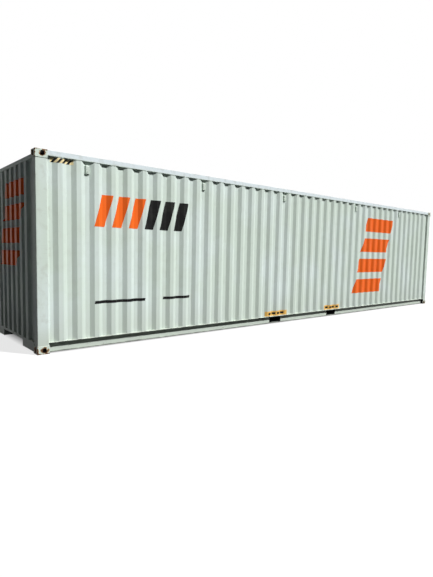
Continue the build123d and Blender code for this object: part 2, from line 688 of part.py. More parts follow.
def bar_guides():
    """Bored brackets on wide feet that hold the right leaf's lock bars against its rails and ribs."""
    lower = (LEAF_BOTTOM + DOOR_RAIL_HEIGHT / 2, LEAF_BOTTOM + LOWER_GUIDE_RISE)
    upper = (LEAF_TOP - UPPER_GUIDE_DROP, LEAF_TOP - DOOR_RAIL_HEIGHT / 2)
    guides = []
    for y in BAR_YS:
        half, foot = GUIDE_WIDTH / 2, GUIDE_FOOT_WIDTH / 2
        section = rectangle(LEAF_X, BAR_X + BAR_STANDOFF, y - half, y + half)
        section = chamfer(section.vertices().group_by(Axis.X)[-1], GUIDE_CHAMFER)
        section += rectangle(LEAF_X, LEAF_X + GUIDE_FOOT_PLATE, y - foot, y + foot)
        bore = RegularPolygon(BAR_RADIUS + RUNNING_CLEARANCE, GUIDE_FACETS, major_radius=False)
        section -= Pos(BAR_X, y) * bore
        for level in lower + upper:
            guides.append(run("z", section, level - GUIDE_HEIGHT / 2, level + GUIDE_HEIGHT / 2))
    return guides


def lock_handles():
    """Flat handles on the lugs of the right leaf's lock bars, broad at the hub and folded towards the hinges."""
    grip, hub = HANDLE_HEIGHT / 2, HANDLE_HUB_HEIGHT / 2
    edge = [
        (-HANDLE_OVERHANG, hub - HANDLE_CHAMFER),
        (HANDLE_CHAMFER - HANDLE_OVERHANG, hub),
        (HANDLE_HUB_LENGTH, hub),
        (HANDLE_HUB_LENGTH + HANDLE_TAPER, grip),
        (HANDLE_LENGTH - HANDLE_CHAMFER, grip),
        (HANDLE_LENGTH, grip - HANDLE_CHAMFER),
    ]
    face = outline(edge + [(y, -z) for y, z in reversed(edge)])
    handle = run("x", face, HANDLE_X, HANDLE_X + HANDLE_PLATE)
    return [Pos(0, y, HANDLE_LEVEL) * handle for y in BAR_YS]


def handle_catches():
    """Seats on the next rib that hold the right leaf's handles, with a cover tab over each handle."""
    half_width = CATCH_WIDTH / 2
    near = HANDLE_HEIGHT / 2 + RUNNING_CLEARANCE
    far = near + CATCH_LIP
    lip_x = HANDLE_X + HANDLE_PLATE + RUNNING_CLEARANCE
    cover_x = lip_x + CATCH_COVER
    catches = []
    for bar_y in BAR_YS:
        y = bar_y + DOOR_PITCH
        seat = block((LEAF_X, y - half_width, HANDLE_LEVEL - far), (cover_x, y + half_width, HANDLE_LEVEL + far))
        seat -= block((HANDLE_X, y - half_width, HANDLE_LEVEL - near), (lip_x, y + half_width, HANDLE_LEVEL + near))
        side_low = (lip_x, y + CATCH_COVER_WIDTH / 2, HANDLE_LEVEL - near)
        side_high = (cover_x, y + half_width, HANDLE_LEVEL + near)
        cut = block(side_low, side_high)
        seat -= cut
        seat -= Pos(0, -CATCH_COVER_WIDTH / 2 - half_width, 0) * cut
        catches.append(seat)
    return catches


def ventilators():
    """Small hooded boxes high on the right wall, each in the hollow before a corrugation."""
    foot_y = SIDE - SIDE_SHEET_V - SIDE_DEPTH
    top = TOP_RAIL_BOTTOM - VENT_BELOW_RAIL
    hood = [
        (foot_y, top - VENT_HEIGHT),
        (foot_y + VENT_DEPTH, top - VENT_HEIGHT),
        (foot_y + VENT_DEPTH, top - VENT_TOP_SLOPE),
        (foot_y, top),
    ]
    count = side_corrugations()
    before = list(range(VENTS_FROM_FRONT, count // 2, VENT_STEP))
    behind = list(range(count - VENTS_FROM_REAR, count // 2, -VENT_STEP))
    vents = []
    for n in before + behind:
        end_x = SIDE_SHEET_START + SIDE_FIRST_FLAT + n * SIDE_PITCH
        middle_x = end_x - SIDE_INNER_FLAT / 2
        vents.append(run("x", outline(hood), middle_x - VENT_WIDTH / 2, middle_x + VENT_WIDTH / 2))
    return vents


def pairs(solids):
    """Right-hand solids with their mirror images on the left."""
    return [piece for solid in solids for piece in both_sides(solid)]


def nodes():
    """Every node of the container by name, as one solid or a list of solids."""
    made = {}
    lower = corner_casting()
    upper = mirror(lower, about=Plane.XY.offset(HEIGHT / 2))
    for level, casting in (("bottom", lower), ("top", upper)):
        for end, piece in (("rear", casting), ("front", mirror(casting, about=Plane.YZ))):
            left, right = both_sides(piece)
            made[f"{level}_{end}_left_casting"] = left
            made[f"{level}_{end}_right_casting"] = right
    for name, piece in (
        ("front_{}_post", front_post()),
        ("rear_{}_post", rear_post()),
        ("{}_top_rail", top_side_rail()),
        ("{}_bottom_rail", bottom_side_rail()),
        ("{}_side_wall", side_wall()),
        ("{}_door_frame", door_frame()),
        ("{}_door_panel", door_panel()),
    ):
        left, right = both_sides(piece)
        made[name.format("left")] = left
        made[name.format("right")] = right
    bars = [lock_bar(y) for y in BAR_YS]
    made["left_lock_bars"] = [mirror(bar, about=Plane.XZ) for bar in bars]
    made["right_lock_bars"] = bars
    made["front_wall"] = front_wall()
    made["front_header"] = front_header()
    made["front_sill"] = front_sill()
    made["roof_front_plate"] = roof_front_plate()
    made["roof"] = roof()
    made["floor"] = floor()
    made["cross_members"] = cross_members()
    made["tunnel_plate"] = tunnel_plate()
    made["tunnel_sides"] = tunnel_sides()
    made["fork_pockets"] = [fork_pocket(middle) for middle in (-FORK_SPACING / 2, FORK_SPACING / 2)]
    made["door_header"] = door_header()
    made["door_sill"] = door_sill()
    made["door_gaskets"] = both_sides(door_gasket())
    made["hinge_blades"] = pairs(hinge_blades())
    made["hinge_lugs"] = pairs(hinge_lugs())
    made["hinge_pins"] = pairs(hinge_pins())
    made["cam_keepers"] = pairs(cam_keepers())
    made["lock_bar_guides"] = pairs(bar_guides())
    made["lock_handles"] = pairs(lock_handles())
    made["handle_catches"] = pairs(handle_catches())
    made["ventilators"] = pairs(ventilators())
    return made


def main():
    os.makedirs("parts", exist_ok=True)
    for name, made in nodes().items():
        solids = made if isinstance(made, list) else [made]
        shape = Compound([solid for piece in solids for solid in piece.solids()])
        export_step(shape, os.path.join("parts", name + ".step"))


main()
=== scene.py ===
"""Looks of a forty-foot freight container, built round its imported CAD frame.

X runs along the length with the doors at +X, Y across the width and Z up, in metres. The left side is at -Y.
"""

import json
from itertools import product

import bmesh
import bpy
import numpy as np
from bpy.props import FloatProperty, FloatVectorProperty, IntProperty, PointerProperty
from mathutils import Matrix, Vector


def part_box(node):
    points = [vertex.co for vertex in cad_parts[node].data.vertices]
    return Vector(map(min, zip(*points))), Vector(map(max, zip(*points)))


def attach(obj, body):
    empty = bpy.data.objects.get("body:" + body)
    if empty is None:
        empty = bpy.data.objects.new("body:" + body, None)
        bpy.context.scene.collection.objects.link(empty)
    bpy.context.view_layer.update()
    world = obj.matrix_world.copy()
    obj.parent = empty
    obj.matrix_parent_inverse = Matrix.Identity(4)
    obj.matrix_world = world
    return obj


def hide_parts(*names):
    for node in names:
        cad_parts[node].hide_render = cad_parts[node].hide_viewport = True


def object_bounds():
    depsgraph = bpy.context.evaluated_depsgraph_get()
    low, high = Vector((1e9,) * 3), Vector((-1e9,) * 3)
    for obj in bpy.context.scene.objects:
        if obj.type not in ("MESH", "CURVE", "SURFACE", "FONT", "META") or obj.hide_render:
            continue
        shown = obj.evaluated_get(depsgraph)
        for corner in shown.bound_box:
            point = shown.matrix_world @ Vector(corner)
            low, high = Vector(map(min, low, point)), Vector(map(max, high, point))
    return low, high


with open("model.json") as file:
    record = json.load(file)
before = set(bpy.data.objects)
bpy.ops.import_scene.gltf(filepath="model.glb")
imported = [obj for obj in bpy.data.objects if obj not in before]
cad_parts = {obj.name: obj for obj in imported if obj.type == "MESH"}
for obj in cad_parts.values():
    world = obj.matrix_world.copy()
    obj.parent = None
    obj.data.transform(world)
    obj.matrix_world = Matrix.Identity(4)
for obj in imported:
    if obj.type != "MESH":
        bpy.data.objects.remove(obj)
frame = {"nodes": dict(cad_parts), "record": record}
# The box of the CAD model, taken before any piece is added.
CAD_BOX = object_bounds()
# The sun bleaches the paint of the frame from the foot of the top rails upwards.
BLEACH_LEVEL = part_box("left_top_rail")[0].z
# The nodes of the frame and of the door gear that get eased edges.
FRAME_NODES = (
    "left_top_rail", "right_top_rail", "left_bottom_rail", "right_bottom_rail", "front_header", "front_sill",
    "door_header", "door_sill", "rear_left_post", "rear_right_post", "left_door_frame", "right_door_frame",
)
GEAR_NODES = ("hinge_blades", "hinge_lugs", "cam_keepers", "lock_bar_guides", "handle_catches")
# The names of the two sides, and 1 or -1 for what is the other way round on the right one.
SIDES = (("left", 1), ("right", -1))

bl_info = {
    "name": "Freight container looks",
    "version": (1, 0, 0),
    "blender": (4, 5, 0),
    "location": "View3D > Sidebar > Container",
    "description": "Sheets, seams, door gear, markings and finishes of a forty-foot freight container",
    "category": "Object",
}


def linear(code):
    """An sRGB hex colour as linear red, green, blue and alpha."""
    value = np.array([int(code[i:i + 2], 16) for i in (1, 3, 5)]) / 255
    bright = ((value + 0.055) / 1.055) ** 2.4
    return (*np.where(value <= 0.04045, value / 12.92, bright).tolist(), 1.0)


def length(name, description, metres):
    """A length that a user may change."""
    return FloatProperty(name=name, description=description, default=metres, unit="LENGTH", precision=4)


def lengths(name, description, metres):
    """Several lengths that a user may change."""
    return FloatVectorProperty(
        name=name, description=description, default=metres, size=len(metres), unit="LENGTH", precision=4
    )


def degrees(name, description, amount):
    """An angle that a user may change, given in degrees and kept in radians."""
    return FloatProperty(name=name, description=description, default=np.radians(amount), subtype="ANGLE")


def direction(name, description, towards):
    """A direction that a user may change."""
    return FloatVectorProperty(name=name, description=description, default=towards, subtype="DIRECTION")


def colour(name, description, code):
    """A colour that a user may change."""
    return FloatVectorProperty(
        name=name, description=description, default=linear(code), subtype="COLOR", size=4, min=0.0, max=1.0
    )


class SheetSizes(bpy.types.PropertyGroup):
    """Sizes of the bent and stamped sheets."""

    thickness: length("Sheet", "Thickness of the wall and roof sheets", 0.002)
    bend: length("Bend radius", "Outer radius of each bend of a corrugation", 0.009)
    bend_steps: IntProperty(name="Bend steps", description="Faces round each bend", default=3, min=1, max=12)
    side_outer: length("Side outer flat", "Width of the outer flats of the side walls", 0.072)
    side_inner: length("Side inner flat", "Width of the recessed flats of the side walls", 0.070)
    side_slope: length("Side slope", "Width of the slopes of the side walls", 0.068)
    side_depth: length("Side depth", "Depth of the corrugation of the side walls", 0.036)
    side_first: length("Side first flat", "Recessed strip before the first corrugation", 0.038)
    front_outer: length("Front outer flat", "Width of the outer flats of the front wall", 0.110)
    front_inner: length("Front inner flat", "Width of the recessed flats of the front wall", 0.104)
    front_slope: length("Front slope", "Width of the slopes of the front wall", 0.018)
    front_depth: length("Front depth", "Depth of the corrugation of the front wall", 0.0456)
    door_outer: length("Door rib", "Width of the outer flats of the door sheets", 0.100)
    door_slope: length("Door slope", "Width of the slopes of the door sheets", 0.025)
    door_ribs: IntProperty(name="Door ribs", description="Ribs on each door sheet", default=4, min=1, max=8)
    roof_rib: length("Roof rib", "Width of a stamped rib of the roof at its foot", 0.118)
    roof_pitch: length("Roof pitch", "Distance from one roof rib to the next", 0.209)
    roof_ramp: length("Roof ramp", "Width of the slopes round a roof rib", 0.0165)
    roof_steps: IntProperty(
        name="Ramp steps", description="Points across each slope of a roof rib", default=7, min=3, max=15
    )
    roof_margin: length("Roof margin", "Flat strip between the ends of the ribs and the rails", 0.035)


class PostSizes(bpy.types.PropertyGroup):
    """Sizes of the bent front posts."""

    side: length("Side flat", "From the container's end to the bend of the return to the side wall", 0.163)
    side_return: length("Side return", "Length of the slanted return to the side wall", 0.029)
    end: length("End flat", "From the container's side to the bend of the return to the front wall", 0.135)
    wall: length("Plate", "Thickness of the bent plate", 0.006)
    bend: length("Bend radius", "Outer radius of the bends", 0.012)
    bend_steps: IntProperty(name="Bend steps", description="Faces round each bend", default=5, min=1, max=16)
    bead: length("Weld bead", "Size of the fillet welds along the sheets", 0.005)
    weld_sunk: length("Weld sunk", "How far the posts' welds lie in the castings' eased edges", 0.002)
    cap_proud: length("Sill caps", "How far the plates on the sill's ends stand proud", 0.0005)


class CastingSizes(bpy.types.PropertyGroup):
    """Sizes of the openings in the corner castings."""

    slot_length: length("Slot length", "Length of the twistlock slots", 0.124)
    slot_width: length("Slot width", "Width of the twistlock slots and the side holes", 0.0635)
    end_hole: length("End hole", "Width of the holes in the ends", 0.051)
    hole_height: length("Hole height", "Height of the holes in the sides and ends", 0.0795)
    from_end: length("From end", "From the end to the middles of the slots and the side holes", 0.1035)
    from_side: length("From side", "From the side to the middles of the slots and the end holes", 0.0895)
    hole_level: length("Hole level", "From the foot or top to the middles of the side and end holes", 0.055)
    lip: length("Lip", "Radius of the rounded edge of an opening", 0.004)


class EdgeSizes(bpy.types.PropertyGroup):
    """Sizes of the eased edges."""

    casting: length("Castings", "Width of the eased edges of the castings", 0.006)
    frame: length("Frame", "Width of the eased edges of the rails, posts, sills and door frames", 0.003)
    gear: length("Gear", "Width of the eased edges of the hinges, guides, keepers and catches", 0.0015)
    segments: IntProperty(name="Segments", description="Faces across an eased edge", default=2, min=1, max=6)
    sharp: degrees("Sharp", "Least angle of an eased edge", 35.0)
    flat: degrees("Flat", "Most that one flat face may bend", 1.0)
    merge: length("Merge", "Distance within which two points count as one", 0.00001)


class GearSizes(bpy.types.PropertyGroup):
    """Sizes of the door gear and the ventilators."""

    bar: length("Bar radius", "Radius of the lock bars", 0.017)
    collar: length("Collar", "How far the collars beside the guides stand proud of the bars", 0.005)
    collar_half: length("Collar half", "Half the height of a collar at its full radius", 0.005)
    collar_ramp: length("Collar ramp", "Height over which a bar widens to a collar", 0.001)
    collar_gap: length("Collar gap", "From a guide to the middle of the collar beside it", 0.007)
    cam_height: length("Cam height", "Height of the cams at the ends of the bars", 0.060)
    cam_reach: length("Cam reach", "From the bar's axis to the nose of a cam", 0.022)
    cam_width: length("Cam width", "Width of a cam", 0.028)
    lug_width: length("Lug width", "Width of the lug between a bar and its handle", 0.024)
    lug_height: length("Lug height", "Height of the lug between a bar and its handle", 0.050)
    handle_hub: length("Handle hub", "Height of a handle at its hub", 0.046)
    handle_grip: length("Handle grip", "Height of a handle along its grip", 0.030)
    hub_end: length("Hub end", "Length of the hub of a handle", 0.046)
    hub_taper: length("Hub taper", "Length over which a handle narrows from its hub to its grip", 0.060)
    handle_round: length("Handle ends", "Radius of the round ends of a handle", 0.010)
    handle_crank: length("Handle crank", "How far the end of a handle stands off for the fingers", 0.005)
    seal: length("Seal", "Width of the seal round a door leaf", 0.0077)
    bolt: length("Bolt radius", "Radius of the round bolt heads", 0.008)
    foot_bolt: length("Foot bolt", "From the middle of a bar guide to the bolts in its feet", 0.038)
    hub_bolt: length("Hub bolt", "From the inner end of a handle to its hub bolt", 0.020)
    knuckle: length("Knuckle", "Radius of the round knuckles of the hinges", 0.0141)
    knuckle_edge: length("Knuckle edge", "Width of the eased edges of the knuckles and the pins", 0.0012)
    pin: length("Pin radius", "Radius of the hinge pins", 0.008)
    pin_head: length("Pin head", "Radius of the heads of the hinge pins", 0.0125)
    pin_head_height: length("Pin head height", "Height of the heads of the hinge pins", 0.006)
    foot_plate: length("Foot plate", "Thickness of the feet of the bar guides", 0.006)
    blade_plate: length("Blade plate", "Thickness of the hinge blades", 0.012)
    blade_bolts: lengths("Blade bolts", "From the tail of a hinge blade to its bolts", (0.030, 0.090))
    blade_rise: length("Blade bolt rise", "From the middle of a hinge blade up or down to its bolts", 0.020)
    louvre: length("Louvre", "Depth of the louvres of a ventilator", 0.004)


class MarkSizes(bpy.types.PropertyGroup):
    """Places of the coloured bars and patches.

    Distances along a wall are from its middle, to the right of a reader who faces it.
    """

    film: length("Film", "Thickness of the vinyl film", 0.0008)
    lift: length("Lift", "From the sheet to the outer face of a film", 0.001)
    row_bars: IntProperty(name="Row bars", description="Short bars, half of them dark", default=6, min=2)
    row_start: length("Row start", "Where the row of short bars begins", -5.227)
    row_low: length("Row foot", "Level of the feet of the short bars", 1.868)
    row_high: length("Row top", "Level of the tops of the short bars", 2.358)
    row_bar: length("Row bar", "Width of a short bar", 0.180)
    row_gap: length("Row gap", "Gap between two short bars", 0.112)
    row_lean: length("Row lean", "How far a short bar leans over", 0.140)
    line_places: lengths("Lines", "Where the thin lines low on the sides begin", (-5.227, -3.960))
    line_lengths: lengths("Line lengths", "Lengths of the thin lines", (0.892, 0.567))
    line_low: length("Line foot", "Level of the feet of the thin lines", 0.682)
    line_high: length("Line top", "Level of the tops of the thin lines", 0.728)
    line_lean: length("Line lean", "How far the ends of the thin lines lean over", 0.013)
    stack_bars: IntProperty(name="Stack bars", description="Level bars in each stack", default=4, min=1)
    stack_start: length("Stack start", "Where the lowest of the level bars begins", 1.880)
    stack_low: length("Stack foot", "Level of the foot of the lowest level bar", 0.520)
    stack_bar: length("Stack bar", "Height of a level bar", 0.360)
    stack_gap: length("Stack gap", "Gap between two level bars", 0.180)
    stack_width: length("Stack width", "Length of a level bar", 1.300)
    stack_lean: length("Stack lean", "How far the ends of a level bar lean over", 0.140)
    stack_shift: length("Stack shift", "How far a level bar is moved on from the one below", 0.160)
    end_start: length("End start", "Where the lowest bar on the front wall begins", -0.690)
    end_low: length("End foot", "Level of the foot of the lowest bar on the front wall", 1.240)
    end_bar: length("End bar", "Height of a bar on the front wall", 0.240)
    end_gap: length("End gap", "Gap between two bars on the front wall", 0.120)
    end_width: length("End width", "Length of a bar on the front wall", 0.950)
    end_lean: length("End lean", "How far the ends of a bar on the front wall lean over", 0.090)
    end_shift: length("End shift", "How far a bar on the front wall is moved on from the one below", 0.120)
    strip_start: length("Strip start", "Where the striped strip under the top rail begins", -5.874)
    strip_length: length("Strip length", "Length of the striped strip", 0.336)
    strip_low: length("Strip foot", "Level of the foot of the striped strip", 2.738)
    strip_high: length("Strip top", "Level of the top of the striped strip", 2.806)
    stripes: IntProperty(name="Stripes", description="Dark stripes on the striped strip", default=4, min=1)
    stripe_first: length("First stripe", "From the start of the strip to its first stripe", 0.00382)
    stripe_pitch: length("Stripe pitch", "Distance from one stripe to the next", 0.07636)
    stripe_width: length("Stripe width", "Width of a stripe", 0.03818)
    stripe_lean: length("Stripe lean", "How far a stripe leans over", 0.06109)
    patch_places: lengths("Patches", "Where the patches over the fork pockets begin", (-1.386, 0.664))
    patch_length: length("Patch length", "Length of a patch over a fork pocket", 0.672)
    patch_low: length("Patch foot", "Level of the foot of a patch", 0.170)
    patch_high: length("Patch top", "Level of the top of a patch", 0.274)
    dashes: IntProperty(name="Dashes", description="Dashes on a patch", default=4, min=1)
    dash_first: length("First dash", "From the start of a patch to its first dash", 0.08736)
    dash_pitch: length("Dash pitch", "Distance from one dash to the next", 0.1344)
    dash_width: length("Dash width", "Length of a dash", 0.09408)
    dash_low: length("Dash foot", "Level of the feet of the dashes", 0.19889)
    dash_high: length("Dash top", "Level of the tops of the dashes", 0.24511)


class PaintColours(bpy.types.PropertyGroup):
    """Colours of the finishes."""

    paint: colour("Paint", "Pale grey topcoat of the walls and the frame", "#CDDACF")
    chalk: colour("Chalked paint", "Topcoat where the sun has bleached it", "#E0EAF0")
    grime: colour("Grime", "Road dust and rain streaks on the paint", "#A9AC9F")
    rust: colour("Rust", "Rust at worn edges", "#5C4230")
    # The cavity colour is rust and grease, darkened to near black as painted shade inside the castings.
    cavity: colour("Cavity", "Rust and old grease inside the castings", "#120D0B")
    bare: colour("Primer", "Worn primer round the rust", "#A88E68")
    underbody: colour("Underbody", "Black wax coating of the base", "#17181A")
    zinc: colour("Zinc", "Galvanised steel of the lock gear", "#AEB3B4")
    zinc_dark: colour("Dark zinc", "Darker crystals of the galvanised steel", "#8C9294")
    zinc_bloom: colour("Zinc bloom", "White bloom stains on the galvanised steel", "#C9CDCC")
    rubber: colour("Rubber", "Black rubber of the door seals", "#18191A")
    plywood: colour("Plywood", "Stained plywood of the floor", "#7A5535")
    grain: colour("Grain", "Dark grain of the plywood", "#4A3220")
    accent: colour("Accent", "Warm bars of the livery", "#F06A22")
    dark: colour("Dark", "Dark bars of the livery", "#0A0B0B")
    amber: colour("Amber", "Patches over the fork pockets", "#E9B860")
    caution: colour("Caution", "Pale ground of the caution strip", "#EBD9A6")


class StageSettings(bpy.types.PropertyGroup):
    """Camera, light and floor."""

    eye: FloatVectorProperty(
        name="Eye", description="Place of the camera", default=(-8.115, -7.495, 1.519), subtype="XYZ",
        unit="LENGTH",
    )
    heading: degrees("Heading", "Turn of the camera from +Y towards +X", 40.394)
    tilt: degrees("Tilt", "Tilt of the camera above the horizon", -4.797)
    roll: degrees("Roll", "Turn of the camera about its own line of sight", 1.162)
    lens: FloatProperty(name="Lens", description="Focal length", default=27.148, unit="CAMERA")
    sensor: FloatProperty(name="Sensor", description="Width of the sensor", default=36.0, unit="CAMERA")
    sun: FloatProperty(name="Sun", description="Strength of the key light", default=5.05)
    sun_from: direction("Sun from", "Direction towards the key light", (0.385, -0.575, 0.722))
    sun_width: degrees("Sun width", "How wide the key light is in the sky", 1.2)
    sun_colour: colour("Sun colour", "Colour of the key light", "#FFFFFF")
    fill: FloatProperty(name="Fill", description="Strength of the light on the far side", default=1.8)
    fill_from: direction("Fill from", "Direction towards the fill light", (0.35, 0.92, 0.16))
    fill_width: degrees("Fill width", "How wide the fill light is in the sky", 20.0)
    fill_colour: colour("Fill colour", "Colour of the fill light", "#F2F6FF")
    ambient: FloatProperty(name="Ambient", description="Strength of the light from all round", default=0.036)
    ambient_colour: colour("Ambient colour", "Colour of the light from all round", "#DCE6F5")
    floor_seen: colour("Floor", "Floor where the eye sees it", "#808080")
    floor_dull: colour("Dull floor", "Floor where it only throws light back", "#2A2A2A")
    floor_glow: FloatProperty(name="Floor glow", description="Lifts the open floor to white", default=0.78)
    # The floor's glow fading out under the container is a painted shade under it.
    floor_fade: length("Floor fade", "How far under the container the floor's glow fades out", 0.25)
    floor_reach: length("Floor reach", "From the middle of the floor to its edges", 120.0)
    floor_drop: length("Floor drop", "How far the floor lies below the castings", 0.001)


# Shapes from arrays

# Points round a turned shape, round a bolt head, along the rim of a hole and round that rim.
TURNED_SIDES = 24
BOLT_SIDES = 12
RIM_STEPS = 32
RIM_SIDES = 8
# Least distance between two columns of points on a wall, in metres.
HAIR = 0.0001


def unit(vectors):
    """Vectors divided by their own lengths."""
    return vectors / np.linalg.norm(vectors, axis=-1, keepdims=True)


def grid_faces(rows, columns, wrap_rows=False, wrap_columns=False):
    """Quads between neighbouring points of a grid that is numbered row by row."""
    r, c = np.meshgrid(
        np.arange(rows if wrap_rows else rows - 1),
        np.arange(columns if wrap_columns else columns - 1),
        indexing="ij",
    )
    r_next, c_next = (r + 1) % rows, (c + 1) % columns
    corners = [r * columns + c, r * columns + c_next, r_next * columns + c_next, r_next * columns + c]
    return np.stack(corners, axis=-1).reshape(-1, 4)


def outwards(vertices, faces):
    """A closed shape whose faces point out of it: they are turned round if its signed volume is negative."""
    around = vertices - vertices.mean(axis=0)
    volume = 0.0
    for part in faces:
        corners = around[part]
        crossed = np.cross(corners[:, 1:-1], corners[:, 2:])
        volume += np.sum(corners[:, :1] * crossed)
    return vertices, faces if volume > 0 else [part[:, ::-1] for part in faces]


def closed_slab(outer, inner):
    """Two like grids of points joined round their edges into one closed skin."""
    rows, columns = outer.shape[:2]
    count = rows * columns
    index = np.arange(count).reshape(rows, columns)
    front = grid_faces(rows, columns)
    edge = np.concatenate([index[0, :-1], index[:-1, -1], index[-1, :0:-1], index[:0:-1, 0]])
    after = np.roll(edge, -1)
    rim = np.stack([after, edge, edge + count, after + count], axis=-1)
    faces = np.concatenate([front, front[:, ::-1] + count, rim])
    return outwards(np.concatenate([outer.reshape(-1, 3), inner.reshape(-1, 3)]), [faces])


def closed_tube(rings):
    """Like rings of points joined one after another, with a flat cap on the first and the last."""
    count, around = rings.shape[:2]
    sides = grid_faces(count, around, wrap_columns=True)
    ring = np.arange(around)[None]
    return outwards(rings.reshape(-1, 3), [sides, ring[:, ::-1], ring + (count - 1) * around])


def closed_loop(rings):
    """Like rings of points joined one after another, and the last to the first."""
    count, around = rings.shape[:2]
    return outwards(rings.reshape(-1, 3), [grid_faces(count, around, wrap_rows=True, wrap_columns=True)])


def repeated(shape, places):
    """Copies of a shape, one moved to each place."""
    vertices, faces = shape
    starts = np.arange(len(places))[:, None, None] * len(vertices)
    moved = vertices[None] + np.asarray(places)[:, None]
    return moved.reshape(-1, 3), [(part[None] + starts).reshape(-1, part.shape[1]) for part in faces]


def smooth(t):
    """A step that rises from 0 to 1 as 3 t^2 - 2 t^3, level at both ends."""
    t = np.clip(t, 0.0, 1.0)
    return t * t * (3 - 2 * t)


def superellipse(half_a, half_b, power, count):
    """Points round the curve |a / A| ^ power + |b / B| ^ power = 1, for each pair of half widths A and B."""
    angle = np.linspace(0.0, 2 * np.pi, count, endpoint=False)
    curve = np.sign([np.cos(angle), np.sin(angle)]) * np.abs([np.cos(angle), np.sin(angle)]) ** (2 / power)
    half_a, half_b = np.atleast_1d(half_a), np.atleast_1d(half_b)
    return np.stack([half_a[:, None] * curve[0], half_b[:, None] * curve[1]], axis=-1)


def solids(node):
    """Lowest and highest corners of each separate solid of a node.

    Points at one place count as one. Every point starts with a label of its own, and each triangle gives its
    least label to its corners until no label changes, so that all the points of a solid end up with the same.
    """
    mesh = frame["nodes"][node].data
    points = np.empty(len(mesh.vertices) * 3, np.float32)
    mesh.vertices.foreach_get("co", points)
    mesh.calc_loop_triangles()
    corners = np.empty(len(mesh.loop_triangles) * 3, np.int32)
    mesh.loop_triangles.foreach_get("vertices", corners)
    places, same = np.unique(points.reshape(-1, 3).round(5), axis=0, return_inverse=True)
    triangles = same.ravel()[corners].reshape(-1, 3)
    label = np.arange(len(places))
    spread = np.zeros_like(label)
    while not np.array_equal(spread, label):
        spread = label.copy()
        np.minimum.at(label, triangles, label[triangles].min(axis=1, keepdims=True))
    return [(places[label == k].min(axis=0), places[label == k].max(axis=0)) for k in np.unique(label)]


def joined(shapes):
    """Several shapes of points and faces as one."""
    starts = np.cumsum([0] + [len(vertices) for vertices, _ in shapes])
    vertices = np.concatenate([vertices for vertices, _ in shapes])
    faces = [part + start for (_, parts), start in zip(shapes, starts) for part in parts]
    return vertices, faces


def put(name, shape, slot, normals=None, crease=None, skin=None):
    """A new piece from points and faces that rides on the container, in its slot's finish or its own skin's.

    Its shading follows the normals given for its points, or else it is smooth up to the crease in degrees.
    """
    vertices, faces = shape
    sizes = np.concatenate([np.full(len(part), part.shape[1]) for part in faces])
    mesh = bpy.data.meshes.new(name)
    mesh.vertices.add(len(vertices))
    mesh.vertices.foreach_set("co", np.ascontiguousarray(vertices, np.float32).ravel())
    mesh.loops.add(int(sizes.sum()))
    mesh.loops.foreach_set("vertex_index", np.concatenate([part.ravel() for part in faces]).astype(np.int32))
    mesh.polygons.add(len(sizes))
    mesh.polygons.foreach_set("loop_start", np.concatenate([[0], np.cumsum(sizes)[:-1]]).astype(np.int32))
    mesh.update(calc_edges=True)
    if mesh.validate():
        raise RuntimeError(f"{name} has faces that are not valid")
    if normals is not None:
        mesh.normals_split_custom_set_from_vertices(normals.reshape(-1, 3).tolist())
    elif crease is not None:
        mesh.set_sharp_from_angle(angle=np.radians(crease))
    mesh.materials.append(finish(skin or slot))
    piece = bpy.data.objects.new(name, mesh)
    bpy.context.scene.collection.objects.link(piece)
    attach(piece, "root")
    return piece


def rounded_line(points, radius, steps):
    """A flat line with each of its bends turned into an arc, and the left-hand normals of its points.

    At a bend by the angle t the arc begins radius * tan(t / 2) before the corner. Its normal is the first
    leg's normal turned by an even share of t, and each of its points lies one radius from the arc's centre
    against that normal.
    """
    leg = unit(np.diff(points, axis=0))
    normal = np.stack([-leg[:, 1], leg[:, 0]], axis=1)
    before, after = leg[:-1], leg[1:]
    turn = np.arctan2(before[:, 0] * after[:, 1] - before[:, 1] * after[:, 0], np.sum(before * after, axis=1))
    side = np.sign(turn)[:, None]
    start = points[1:-1] - before * (radius * np.tan(np.abs(turn) / 2))[:, None]
    centre = start + side * radius * normal[:-1]
    angle = turn[:, None] * np.linspace(0.0, 1.0, steps + 1)
    n = normal[:-1, None, :]
    swung = np.stack(
        [
            np.cos(angle) * n[..., 0] - np.sin(angle) * n[..., 1],
            np.sin(angle) * n[..., 0] + np.cos(angle) * n[..., 1],
        ],
        axis=-1,
    )
    arcs = centre[:, None, :] - side[:, None, :] * radius * swung
    line = np.concatenate([points[:1], arcs.reshape(-1, 2), points[-1:]])
    return line, np.concatenate([normal[:1], swung.reshape(-1, 2), normal[-1:]])


def corrugation(span, first, outer, inner, slope, depth, count):
    """Bend points of a trapezoid corrugation: distance along the sheet, and depth behind its outer flats."""
    starts = first + np.arange(count) * (outer + inner + 2 * slope)
    along = starts[:, None] + np.array([0.0, slope, slope + outer, 2 * slope + outer])
    deep = np.tile([depth, 0.0, 0.0, depth], count)
    bends = np.stack([along.ravel(), deep], axis=1)
    return np.concatenate([[[0.0, depth]], bends, [[span, depth]]])


def standing_sheet(line, normals, low, high, thickness):
    """A closed sheet of even thickness that stands on a flat line, and the normals of its points.

    Its foot and its head are levels for the whole line, or one for each of its points.
    """
    levels = np.stack([np.broadcast_to(low, len(line)), np.broadcast_to(high, len(line))])[..., None]
    outer = np.concatenate([np.broadcast_to(line, (2, *line.shape)), levels], axis=-1)
    away = np.concatenate([np.broadcast_to(normals, (2, *normals.shape)), 0 * levels], axis=-1)
    shape = closed_slab(outer, outer - away * thickness)
    return shape, np.concatenate([away.reshape(-1, 3), -away.reshape(-1, 3)])


